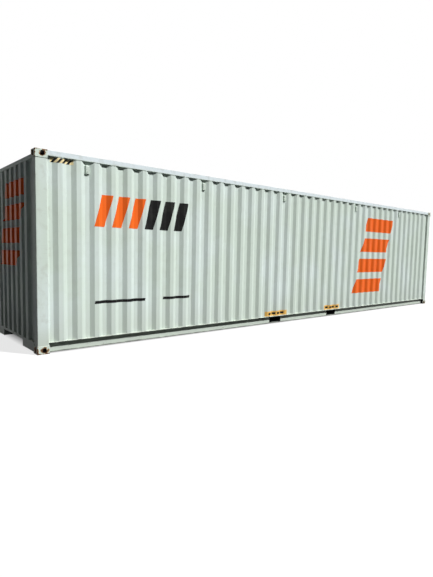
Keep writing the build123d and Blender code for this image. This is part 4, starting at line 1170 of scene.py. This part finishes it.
def floor_plywood(colours):
    """Keruing plywood boards, stained: brown with long grain across the container and dark board joints."""
    material, tree, shader = new_material("floor_plywood", IOR=1.5, Roughness=0.7)
    place = add(tree, "ShaderNodeTexCoord").outputs["Object"]
    drawn = add(
        tree, "ShaderNodeMapping", {"Vector": place, "Scale": (per_metre(12), per_metre(260), per_metre(12))}
    )
    grain = add(tree, "ShaderNodeTexNoise", {"Vector": drawn.outputs[0], "Scale": 1.0, "Detail": 5.0})
    wood = add(
        tree, "ShaderNodeMix", {0: grain.outputs[0], 6: colours.plywood, 7: colours.grain}, data_type="RGBA"
    )
    boards = add(
        tree, "ShaderNodeTexBrick",
        {"Vector": place, "Scale": 1.0, "Mortar Size": 0.003, "Brick Width": 2.4, "Row Height": 1.16},
    )
    skin = add(
        tree, "ShaderNodeMix",
        {0: boards.outputs["Fac"], 6: wood.outputs[2], 7: colours.underbody}, data_type="RGBA",
    )
    tree.links.new(skin.outputs[2], shader.inputs["Base Color"])
    bump = add(tree, "ShaderNodeBump", {"Height": grain.outputs[0], "Strength": 0.3, "Distance": 0.001})
    tree.links.new(bump.outputs[0], shader.inputs["Normal"])
    return material


def ventilator_plastic(colours):
    """Moulded ABS, painted over with the wall: a smoother, slightly greyer coat with a fine moulded grain."""
    material, tree, shader = new_material("ventilator_plastic", IOR=1.53, Specular_IOR_Level=0.2)
    place = add(tree, "ShaderNodeTexCoord").outputs["Object"]
    clouds = add(tree, "ShaderNodeTexNoise", {"Vector": place, "Scale": per_metre(50), "Detail": 3.0})
    dust = add(tree, "ShaderNodeMapRange", {"Value": clouds.outputs[0], "To Max": 0.25})
    skin = add(
        tree, "ShaderNodeMix", {0: dust.outputs[0], 6: colours.paint, 7: colours.grime}, data_type="RGBA"
    )
    tree.links.new(skin.outputs[2], shader.inputs["Base Color"])
    gloss = add(tree, "ShaderNodeMapRange", {"Value": clouds.outputs[0], "To Min": 0.4, "To Max": 0.6})
    tree.links.new(gloss.outputs[0], shader.inputs["Roughness"])
    # Real moulded grain is under 1 mm across; it is drawn coarser so that it shows.
    grain = add(tree, "ShaderNodeTexNoise", {"Vector": place, "Scale": per_metre(5), "Detail": 2.0})
    bump = add(tree, "ShaderNodeBump", {"Height": grain.outputs[0], "Strength": 0.2, "Distance": 0.0005})
    tree.links.new(bump.outputs[0], shader.inputs["Normal"])
    return material


def vinyl(name, tint, colours):
    """Cast vinyl film pressed on the corrugated paint: even colour, a little faded and dusty in clouds."""
    material, tree, shader = new_material(name, IOR=1.5, Specular_IOR_Level=0.15)
    place = add(tree, "ShaderNodeTexCoord").outputs["Object"]
    clouds = add(tree, "ShaderNodeTexNoise", {"Vector": place, "Scale": per_metre(160), "Detail": 5.0})
    faded = add(
        tree, "ShaderNodeMapRange",
        {"Value": clouds.outputs[0], "From Min": 0.5, "From Max": 0.85, "To Max": 0.05},
    )
    skin = add(tree, "ShaderNodeMix", {0: faded.outputs[0], 6: tint, 7: colours.grime}, data_type="RGBA")
    tree.links.new(skin.outputs[2], shader.inputs["Base Color"])
    gloss = add(tree, "ShaderNodeMapRange", {"Value": clouds.outputs[0], "To Min": 0.35, "To Max": 0.55})
    tree.links.new(gloss.outputs[0], shader.inputs["Roughness"])
    return material


SLOT_FINISHES = {
    "panel_paint": panel_paint,
    "frame_paint": frame_paint,
    "casting_steel": casting_steel,
    "underframe_coating": underframe_coating,
    "galvanised_gear": galvanised_gear,
    "seal_rubber": seal_rubber,
    "floor_plywood": floor_plywood,
    "ventilator_plastic": ventilator_plastic,
}


def finish(name):
    """The finish of a material slot, or the vinyl of a colour, made the first time that it is asked for."""
    made = bpy.data.materials.get(name)
    if made:
        return made
    colours = bpy.context.scene.container_colours
    if name in SLOT_FINISHES:
        return SLOT_FINISHES[name](colours)
    return vinyl(name, getattr(colours, name.removesuffix("_vinyl")), colours)


# Operators


class CONTAINER_OT_finishes(bpy.types.Operator):
    """Give every node the finish of its material slot, in place of the plain one it came with"""

    bl_idname = "container.finishes"
    bl_label = "Finishes"

    def execute(self, context):
        for material in list(bpy.data.materials):
            bpy.data.materials.remove(material)
        for part in frame["record"]["subparts"]:
            node = frame["nodes"][part["node"]]
            node.data.materials.clear()
            node.data.materials.append(finish(part["material_slot"]))
        return {"FINISHED"}


class CONTAINER_OT_wall_sheets(bpy.types.Operator):
    """Bend the side walls, the front wall and the door panels from sheet, with round bends"""

    bl_idname = "container.wall_sheets"
    bl_label = "Wall sheets"

    def execute(self, context):
        sheets = context.scene.container_sheets
        for node, (line, normals) in (wall_lines(sheets) | door_lines(sheets)).items():
            low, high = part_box(node)
            shape, shading = standing_sheet(line, normals, low.z, high.z, sheets.thickness)
            piece = put(node + "_sheet", shape, "panel_paint", normals=shading)
            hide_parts(node)
        return {"FINISHED"}


class CONTAINER_OT_roof_sheet(bpy.types.Operator):
    """Stamp the roof sheet with its row of cross ribs"""

    bl_idname = "container.roof_sheet"
    bl_label = "Roof sheet"

    def execute(self, context):
        low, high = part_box("roof")
        shape, shading = ribbed_roof(context.scene.container_sheets, low, high)
        piece = put("roof_sheet", shape, "panel_paint", normals=shading)
        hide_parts("roof")
        return {"FINISHED"}


class CONTAINER_OT_front_posts(bpy.types.Operator):
    """Bend the front posts from plate, with their returns to the side and front walls"""

    bl_idname = "container.front_posts"
    bl_label = "Front posts"

    def execute(self, context):
        posts = context.scene.container_posts
        foot_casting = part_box("bottom_front_left_casting")[1]
        head_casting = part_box("top_front_left_casting")[0]
        line, normals = post_line(posts, context.scene.container_sheets)
        line, normals = stepped(line, normals, foot_casting.x)
        beside = line[:, 0] > foot_casting.x
        inboard = line[:, 1] > foot_casting.y
        foot = np.where(beside | inboard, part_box("left_bottom_rail")[1].z, foot_casting.z)
        head = np.where(beside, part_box("left_top_rail")[0].z, head_casting.z)
        for side, way in SIDES:
            shape, shading = standing_sheet(line * [1, way], normals * [1, way], foot, head, posts.wall)
            piece = put(f"front_{side}_post_plate", shape, "frame_paint", normals=shading)
            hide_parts(f"front_{side}_post")
        self.sill_caps(posts, context.scene.container_edges.frame, foot_casting.z)
        return {"FINISHED"}

    def sill_caps(self, posts, inset, low):
        """Plates that close the ends of the hollow sill above the castings, behind its eased edges."""
        start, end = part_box("front_sill")
        y = start.y - posts.cap_proud
        line = np.array([(start.x + inset, y), (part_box("front_wall")[1].x, y)])
        normals = np.array([(0.0, -1.0), (0.0, -1.0)])
        caps = [
            standing_sheet(line * [1, way], normals * [1, way], low, end.z - inset, posts.wall)[0]
            for way in (1, -1)
        ]
        put("front_sill_caps", joined(caps), "frame_paint", crease=30)


class CONTAINER_OT_weld_beads(bpy.types.Operator):
    """Weld the walls to the rails, the sill and the header, and the posts to the castings"""

    bl_idname = "container.weld_beads"
    bl_label = "Weld beads"

    def execute(self, context):
        sheets, size = context.scene.container_sheets, context.scene.container_posts.bead
        for node, (line, normals) in wall_lines(sheets).items():
            low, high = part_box(node)
            shape = joined([bead(line, normals, low.z, 1, size), bead(line, normals, high.z, -1, size)])
            put(node + "_welds", shape, "frame_paint", crease=50)
        self.post_welds(context.scene.container_posts, sheets)
        return {"FINISHED"}

    def post_welds(self, posts, sheets):
        """Beads round the feet and the heads of the posts, sunk to meet the eased edges of the castings."""
        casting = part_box("bottom_front_left_casting")[1]
        line, normals = stepped(*post_line(posts, sheets), casting.x)
        outside = (line[:, 0] < casting.x) & (line[:, 1] < casting.y)
        low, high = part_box("rear_left_post")
        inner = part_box("bottom_rear_left_casting")[0].x
        corner = np.array([(high.x, high.y), (high.x, low.y), (inner, low.y)])
        lines = {
            "front": (line[outside], normals[outside]),
            "rear": rounded_line(corner, bpy.context.scene.container_edges.frame, sheets.bend_steps),
        }
        foot = casting.z - posts.weld_sunk
        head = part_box("top_front_left_casting")[0].z + posts.weld_sunk
        for end, (line, normals) in lines.items():
            for side, way in SIDES:
                path, out = line * [1, way], normals * [1, way]
                beads = [bead(path, out, foot, 1, posts.bead), bead(path, out, head, -1, posts.bead)]
                put(f"{end}_{side}_post_welds", joined(beads), "frame_paint", crease=50)


class CONTAINER_OT_eased_edges(bpy.types.Operator):
    """Ease the sharp edges of the castings, the frame and the door gear"""

    bl_idname = "container.eased_edges"
    bl_label = "Eased edges"

    def execute(self, context):
        edges = context.scene.container_edges
        slots = {part["node"]: part["material_slot"] for part in frame["record"]["subparts"]}
        for radius, nodes in (
            (edges.casting, [node for node in slots if node.endswith("_casting")]),
            (edges.frame, FRAME_NODES),
            (edges.gear, GEAR_NODES),
        ):
            for node in nodes:
                self.ease(edges, node, slots[node], radius)
        return {"FINISHED"}

    def ease(self, edges, node, slot, radius):
        """A merged copy of a node, with its flat faces whole and a bevel along its sharp edges."""
        mesh = frame["nodes"][node].data.copy()
        merged = bmesh.new()
        merged.from_mesh(mesh)
        bmesh.ops.remove_doubles(merged, verts=merged.verts, dist=edges.merge)
        bmesh.ops.dissolve_limit(merged, angle_limit=edges.flat, verts=merged.verts, edges=merged.edges)
        merged.to_mesh(mesh)
        merged.free()
        # The normals that the loose triangles came with no longer fit the merged faces.
        mesh.attributes.remove(mesh.attributes["custom_normal"])
        mesh.shade_smooth()
        piece = bpy.data.objects.new(node + "_eased", mesh)
        bpy.context.scene.collection.objects.link(piece)
        bevel = piece.modifiers.new("eased edges", "BEVEL")
        bevel.width = radius
        bevel.segments = edges.segments
        bevel.limit_method = "ANGLE"
        bevel.angle_limit = edges.sharp
        bevel.harden_normals = True
        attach(piece, "root")
        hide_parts(node)


class CONTAINER_OT_casting_rims(bpy.types.Operator):
    """Round the edges of the openings in the corner castings"""

    bl_idname = "container.casting_rims"
    bl_label = "Casting rims"

    def execute(self, context):
        sizes = context.scene.container_castings
        high = np.array(CAD_BOX[1])
        along, across, upright = np.eye(3)
        rims = []
        slot, end_hole, tall, lip = sizes.slot_width, sizes.end_hole, sizes.hole_height, sizes.lip
        for x, y, level in product((-1, 1), (-1, 1), ("bottom", "top")):
            outside = high * [x, y, 1]
            inside = outside - [x * sizes.from_end, y * sizes.from_side, 0]
            hole = high[2] - sizes.hole_level if level == "top" else sizes.hole_level
            side = np.array([inside[0], outside[1], hole])
            end = np.array([outside[0], inside[1], hole])
            rims.append(hole_rim(side, along, upright, y * across, slot, tall, lip))
            rims.append(hole_rim(end, across, upright, x * along, end_hole, tall, lip))
            if level == "top":
                rims.append(hole_rim(inside, across, along, upright, slot, sizes.slot_length, lip))
        put("casting_rims", joined(rims), "casting_steel", crease=60)
        return {"FINISHED"}


class CONTAINER_OT_ventilators(bpy.types.Operator):
    """Mould the ventilator covers high on the side walls"""

    bl_idname = "container.ventilators"
    bl_label = "Ventilators"

    def execute(self, context):
        gear = context.scene.container_gear
        shape = joined([ventilator(gear, low, high) for low, high in solids("ventilators")])
        piece = put("ventilator_covers", shape, "ventilator_plastic", crease=50)
        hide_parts("ventilators")
        return {"FINISHED"}


class CONTAINER_OT_lock_bars(bpy.types.Operator):
    """Turn the lock bars of both doors, with their collars, cams and handle lugs"""

    bl_idname = "container.lock_bars"
    bl_label = "Lock bars"

    def execute(self, context):
        gear = context.scene.container_gear
        guides, handles = solids("lock_bar_guides"), solids("lock_handles")
        for side in ("left", "right"):
            bars = [self.bar(gear, low, high, guides, handles) for low, high in solids(f"{side}_lock_bars")]
            piece = put(f"{side}_lock_bar_set", joined(bars), "galvanised_gear", crease=40)
            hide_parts(f"{side}_lock_bars")
        return {"FINISHED"}

    def bar(self, gear, low, high, guides, handles):
        """One bar between its cams, with a collar on each side of every guide that holds it."""
        y = (low[1] + high[1]) / 2
        held = [guide for guide in guides if guide[0][1] < y < guide[1][1]]
        handle = next(one for one in handles if one[0][1] < y < one[1][1])
        x = (held[0][0][0] + held[0][1][0]) / 2
        gap = gear.collar_gap
        collars = np.array([(bottom[2] - gap, top[2] + gap) for bottom, top in held]).ravel()
        foot, head = low[2] + gear.cam_height, high[2] - gear.cam_height
        return joined(
            [
                turned_bar(gear, x, y, foot, head, collars),
                forged_cam(gear, low[0], x + gear.cam_reach, y, low[2], foot),
                forged_cam(gear, low[0], x + gear.cam_reach, y, head, high[2]),
                handle_lug(gear, x, handle[0][0], y, (handle[0][2] + handle[1][2]) / 2),
            ]
        )


class CONTAINER_OT_lock_handles(bpy.types.Operator):
    """Forge the handles that lie folded against the doors"""

    bl_idname = "container.lock_handles"
    bl_label = "Lock handles"

    def execute(self, context):
        gear = context.scene.container_gear
        shape = joined([flat_handle(gear, low, high) for low, high in solids("lock_handles")])
        piece = put("lock_handle_grips", shape, "galvanised_gear", crease=40)
        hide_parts("lock_handles")
        return {"FINISHED"}


class CONTAINER_OT_bolts(bpy.types.Operator):
    """Set the bolt heads on the bar guides, the handle hubs and the hinge blades"""

    bl_idname = "container.bolts"
    bl_label = "Bolts"

    def execute(self, context):
        gear = context.scene.container_gear
        places = []
        for low, high in solids("lock_bar_guides"):
            middle = (low + high) / 2
            foot_x = low[0] + gear.foot_plate
            places += [(foot_x, middle[1] + way * gear.foot_bolt, middle[2]) for way in (-1, 1)]
        for low, high in solids("lock_handles"):
            hub_y = low[1] + gear.hub_bolt if high[1] > -low[1] else high[1] - gear.hub_bolt
            places.append((high[0], hub_y, (low[2] + high[2]) / 2))
        gear_bolts = bolt_heads(places, gear.bolt)
        put("gear_bolts", gear_bolts, "galvanised_gear", crease=40)
        places = []
        for low, high in solids("hinge_blades"):
            tail, way = (low[1], 1) if low[1] > 0 else (high[1], -1)
            middle_z = (low[2] + high[2]) / 2
            blade_x = low[0] + gear.blade_plate
            for from_tail, up in product(gear.blade_bolts, (-1, 1)):
                places.append((blade_x, tail + way * from_tail, middle_z + up * gear.blade_rise))
        put("hinge_bolts", bolt_heads(places, gear.bolt), "frame_paint", crease=40)
        return {"FINISHED"}


class CONTAINER_OT_hinges(bpy.types.Operator):
    """Turn the round knuckles and the pins of the hinges"""

    bl_idname = "container.hinges"
    bl_label = "Hinges"

    def execute(self, context):
        gear = context.scene.container_gear
        held = solids("hinge_lugs") + solids("hinge_blades")
        barrels, pins = [], []
        for low, high in solids("hinge_pins"):
            x, y = (low[:2] + high[:2]) / 2
            pins.append(hinge_pin(gear, x, y, low[2], high[2]))
            barrels += [
                hinge_barrel(gear, x, y, foot[2], head[2])
                for foot, head in held
                if foot[1] < y < head[1] and low[2] < foot[2] < high[2]
            ]
        put("hinge_barrels", joined(barrels), "frame_paint", crease=40)
        piece = put("hinge_pin_set", joined(pins), "galvanised_gear", crease=40)
        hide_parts("hinge_pins")
        return {"FINISHED"}


class CONTAINER_OT_door_seals(bpy.types.Operator):
    """Fit the rubber seals round both door leaves"""

    bl_idname = "container.door_seals"
    bl_label = "Door seals"

    def execute(self, context):
        gear = context.scene.container_gear
        shape = joined([door_seal(gear, low, high) for low, high in solids("door_gaskets")])
        piece = put("door_seals", shape, "seal_rubber", crease=35)
        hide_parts("door_gaskets")
        return {"FINISHED"}


class CONTAINER_OT_markings(bpy.types.Operator):
    """Lay the coloured bars and the patches on the walls"""

    bl_idname = "container.markings"
    bl_label = "Markings"

    def execute(self, context):
        marks, sheets = context.scene.container_marks, context.scene.container_sheets
        for side, way in SIDES:
            wall = read_along(*side_line(sheets, f"{side}_side_wall"), 0, way)
            self.row(marks, side, wall)
            self.caution(marks, side, wall)
            self.patches(marks, side, wall)
        wall = read_along(*front_line(sheets), 1, -1)
        self.lay("front_bars", self.stack(marks, wall, "end"), "accent")
        return {"FINISHED"}

    def bar(self, marks, wall, start, width, lean, level, lift=0.0):
        """One bar between the two levels of its group, as far off the sheet as the films below it need."""
        low, high = getattr(marks, level + "_low"), getattr(marks, level + "_high")
        return film(wall, start, width, lean, low, high, marks.lift + lift, marks.film)

    def lay(self, name, bars, tint):
        """Several bars of one colour as one piece."""
        shape = joined([one for one, _ in bars])
        shading = np.concatenate([one for _, one in bars])
        put(name, shape, "panel_paint", normals=shading, skin=tint + "_vinyl")

    def stack(self, marks, wall, group):
        """Level bars one above another, each moved on from the one below it."""
        parts = ("start", "low", "bar", "gap", "width", "lean", "shift")
        start, low, tall, gap, width, lean, shift = (getattr(marks, f"{group}_{part}") for part in parts)
        count = np.arange(marks.stack_bars)
        feet = low + (tall + gap) * count
        starts = start + shift * count
        return [
            film(wall, begin, width, lean, foot, foot + tall, marks.lift, marks.film)
            for begin, foot in zip(starts, feet)
        ]

    def row(self, marks, side, wall):
        """A row of short bars, half of them dark, two thin lines below it and a stack of level bars."""
        pitch = marks.row_bar + marks.row_gap
        starts = marks.row_start + pitch * np.arange(marks.row_bars)
        half = marks.row_bars // 2
        short = [self.bar(marks, wall, start, marks.row_bar, marks.row_lean, "row") for start in starts]
        self.lay(f"{side}_accent_bars", short[:half] + self.stack(marks, wall, "stack"), "accent")
        thin = [
            self.bar(marks, wall, start, long, marks.line_lean, "line")
            for start, long in zip(marks.line_places, marks.line_lengths)
        ]
        self.lay(f"{side}_dark_bars", short[half:] + thin, "dark")

    def caution(self, marks, side, wall):
        """A pale strip with leaning dark stripes under the end of the top rail."""
        strip = self.bar(marks, wall, marks.strip_start, marks.strip_length, 0.0, "strip")
        self.lay(f"{side}_caution_strip", [strip], "caution")
        starts = marks.strip_start + marks.stripe_first + marks.stripe_pitch * np.arange(marks.stripes)
        stripes = [
            self.bar(marks, wall, start, marks.stripe_width, marks.stripe_lean, "strip", lift=marks.film)
            for start in starts
        ]
        self.lay(f"{side}_caution_stripes", stripes, "dark")

    def patches(self, marks, side, wall):
        """An amber patch over each fork pocket, with a line of plain dashes."""
        patches = [
            self.bar(marks, wall, start, marks.patch_length, 0.0, "patch") for start in marks.patch_places
        ]
        self.lay(f"{side}_fork_patches", patches, "amber")
        shifts = marks.dash_first + marks.dash_pitch * np.arange(marks.dashes)
        dashes = [
            self.bar(marks, wall, start + shift, marks.dash_width, 0.0, "dash", lift=marks.film)
            for start, shift in product(marks.patch_places, shifts)
        ]
        self.lay(f"{side}_fork_dashes", dashes, "dark")


class CONTAINER_OT_stage(bpy.types.Operator):
    """Set the camera, the lights, the world and the floor"""

    bl_idname = "container.stage"
    bl_label = "Stage"

    def execute(self, context):
        stage = context.scene.container_stage
        self.camera(context, stage)
        self.lamp(context, "key", stage.sun, stage.sun_from, stage.sun_width, stage.sun_colour)
        self.lamp(context, "fill", stage.fill, stage.fill_from, stage.fill_width, stage.fill_colour)
        self.world(context, stage)
        self.floor(context, stage)
        context.scene.view_settings.view_transform = "Standard"
        return {"FINISHED"}

    def camera(self, context, stage):
        """A camera that looks along its heading and tilt, turned about that line by its roll."""
        heading, tilt, roll = stage.heading, stage.tilt, stage.roll
        ahead = np.array([np.sin(heading) * np.cos(tilt), np.cos(heading) * np.cos(tilt), np.sin(tilt)])
        level = np.array([np.cos(heading), -np.sin(heading), 0.0])
        above = np.cross(level, ahead)
        right = np.cos(roll) * level + np.sin(roll) * above
        up = -np.sin(roll) * level + np.cos(roll) * above
        data = bpy.data.cameras.new("camera")
        data.sensor_width = stage.sensor
        data.lens = stage.lens
        data.clip_end = 500.0
        camera = bpy.data.objects.new("camera", data)
        camera.matrix_world = Matrix(np.column_stack([right, up, -ahead]).tolist()).to_4x4()
        camera.location = stage.eye
        context.scene.collection.objects.link(camera)
        context.scene.camera = camera

    def lamp(self, context, name, strength, towards, width, tint):
        """A distant lamp that shines from a direction, as wide in the sky as its width."""
        data = bpy.data.lights.new(name, "SUN")
        data.energy = strength
        data.angle = width
        data.color = tint[:3]
        lamp = bpy.data.objects.new(name, data)
        back = unit(np.array(towards))
        side = unit(np.cross([0.0, 0.0, 1.0], back))
        lamp.matrix_world = Matrix(np.column_stack([side, np.cross(back, side), back]).tolist()).to_4x4()
        context.scene.collection.objects.link(lamp)

    def seen(self, tree):
        """One where the eye sees a surface, straight or mirrored, and nought where it only sends light."""
        path = add(tree, "ShaderNodeLightPath")
        mirrored = add(
            tree, "ShaderNodeMath",
            {0: path.outputs["Is Glossy Ray"], 1: path.outputs["Is Transmission Ray"]}, operation="MAXIMUM",
        )
        return add(
            tree, "ShaderNodeMath",
            {0: path.outputs["Is Camera Ray"], 1: mirrored.outputs[0]}, operation="MAXIMUM",
        ).outputs[0]

    def world(self, context, stage):
        """White to the eye, and a weak bluish light from all round."""
        world = bpy.data.worlds.new("studio")
        world.use_nodes = True
        tree = world.node_tree
        tree.nodes.clear()
        weak = add(tree, "ShaderNodeBackground", {"Color": stage.ambient_colour, "Strength": stage.ambient})
        white = add(tree, "ShaderNodeBackground", {"Color": linear("#FFFFFF"), "Strength": 1.0})
        mixed = add(
            tree, "ShaderNodeMixShader", {0: self.seen(tree), 1: weak.outputs[0], 2: white.outputs[0]}
        )
        add(tree, "ShaderNodeOutputWorld", {"Surface": mixed.outputs[0]})
        context.scene.world = world

    def floor(self, context, stage):
        """A pale floor with painted shade under the container; it keeps its shadow and throws little light
        up.
        """
        material = bpy.data.materials.new("studio_floor")
        material.use_nodes = True
        tree = material.node_tree
        tree.nodes.clear()
        dull = add(tree, "ShaderNodeBsdfDiffuse", {"Color": stage.floor_dull})
        pale = add(tree, "ShaderNodeBsdfDiffuse", {"Color": stage.floor_seen})
        place = add(tree, "ShaderNodeTexCoord").outputs["Object"]
        mirrored = add(tree, "ShaderNodeVectorMath", {0: place}, operation="ABSOLUTE")
        beyond = add(
            tree, "ShaderNodeVectorMath", {0: mirrored.outputs[0], 1: CAD_BOX[1]}, operation="SUBTRACT"
        )
        split = add(tree, "ShaderNodeSeparateXYZ", {0: beyond.outputs[0]})
        out = add(tree, "ShaderNodeMath", {0: split.outputs["X"], 1: split.outputs["Y"]}, operation="MAXIMUM")
        # The glow fades out under the container's footprint: a painted shade where the floor lies in the
        # container's shadow.
        open_air = add(
            tree, "ShaderNodeMapRange",
            {
                "Value": out.outputs[0], "From Min": -stage.floor_fade, "From Max": 0.0,
                "To Max": stage.floor_glow,
            },
        )
        glow = add(tree, "ShaderNodeEmission", {"Color": linear("#FFFFFF"), "Strength": open_air.outputs[0]})
        both = add(tree, "ShaderNodeAddShader", {0: pale.outputs[0], 1: glow.outputs[0]})
        mixed = add(tree, "ShaderNodeMixShader", {0: self.seen(tree), 1: dull.outputs[0], 2: both.outputs[0]})
        add(tree, "ShaderNodeOutputMaterial", {"Surface": mixed.outputs[0]})
        mesh = bpy.data.meshes.new("studio_floor")
        reach, level = stage.floor_reach, -stage.floor_drop
        around = ((-1, -1), (1, -1), (1, 1), (-1, 1))
        corners = [(reach * x, reach * y, level) for x, y in around]
        mesh.from_pydata(corners, [], [(0, 1, 2, 3)])
        mesh.materials.append(material)
        floor = bpy.data.objects.new("studio_floor", mesh)
        context.scene.collection.objects.link(floor)


STEPS = (
    CONTAINER_OT_finishes,
    CONTAINER_OT_wall_sheets,
    CONTAINER_OT_roof_sheet,
    CONTAINER_OT_front_posts,
    CONTAINER_OT_weld_beads,
    CONTAINER_OT_eased_edges,
    CONTAINER_OT_casting_rims,
    CONTAINER_OT_ventilators,
    CONTAINER_OT_lock_bars,
    CONTAINER_OT_lock_handles,
    CONTAINER_OT_bolts,
    CONTAINER_OT_hinges,
    CONTAINER_OT_door_seals,
    CONTAINER_OT_markings,
    CONTAINER_OT_stage,
)
GROUPS = {
    "container_sheets": SheetSizes,
    "container_posts": PostSizes,
    "container_castings": CastingSizes,
    "container_edges": EdgeSizes,
    "container_gear": GearSizes,
    "container_marks": MarkSizes,
    "container_colours": PaintColours,
    "container_stage": StageSettings,
}


class CONTAINER_PT_looks(bpy.types.Panel):
    """Sizes, colours and steps of the container's looks"""

    bl_label = "Container"
    bl_idname = "CONTAINER_PT_looks"
    bl_space_type = "VIEW_3D"
    bl_region_type = "UI"
    bl_category = "Container"

    def draw(self, context):
        for name, group in GROUPS.items():
            box = self.layout.box()
            for setting in group.__annotations__:
                box.prop(getattr(context.scene, name), setting)
        for step in STEPS:
            self.layout.operator(step.bl_idname)


CLASSES = (*GROUPS.values(), *STEPS, CONTAINER_PT_looks)


def register():
    """Register the classes, and give every scene the groups of settings."""
    for one in CLASSES:
        bpy.utils.register_class(one)
    for name, group in GROUPS.items():
        setattr(bpy.types.Scene, name, PointerProperty(type=group))


def unregister():
    """Take the groups of settings away again, and then the classes in reverse order."""
    for name in GROUPS:
        delattr(bpy.types.Scene, name)
    for one in reversed(CLASSES):
        bpy.utils.unregister_class(one)


def main():
    """Make every piece and the stage in order."""
    register()
    for step in STEPS:
        group, name = step.bl_idname.split(".")
        getattr(getattr(bpy.ops, group), name)()


if __name__ == "__main__":
    main()
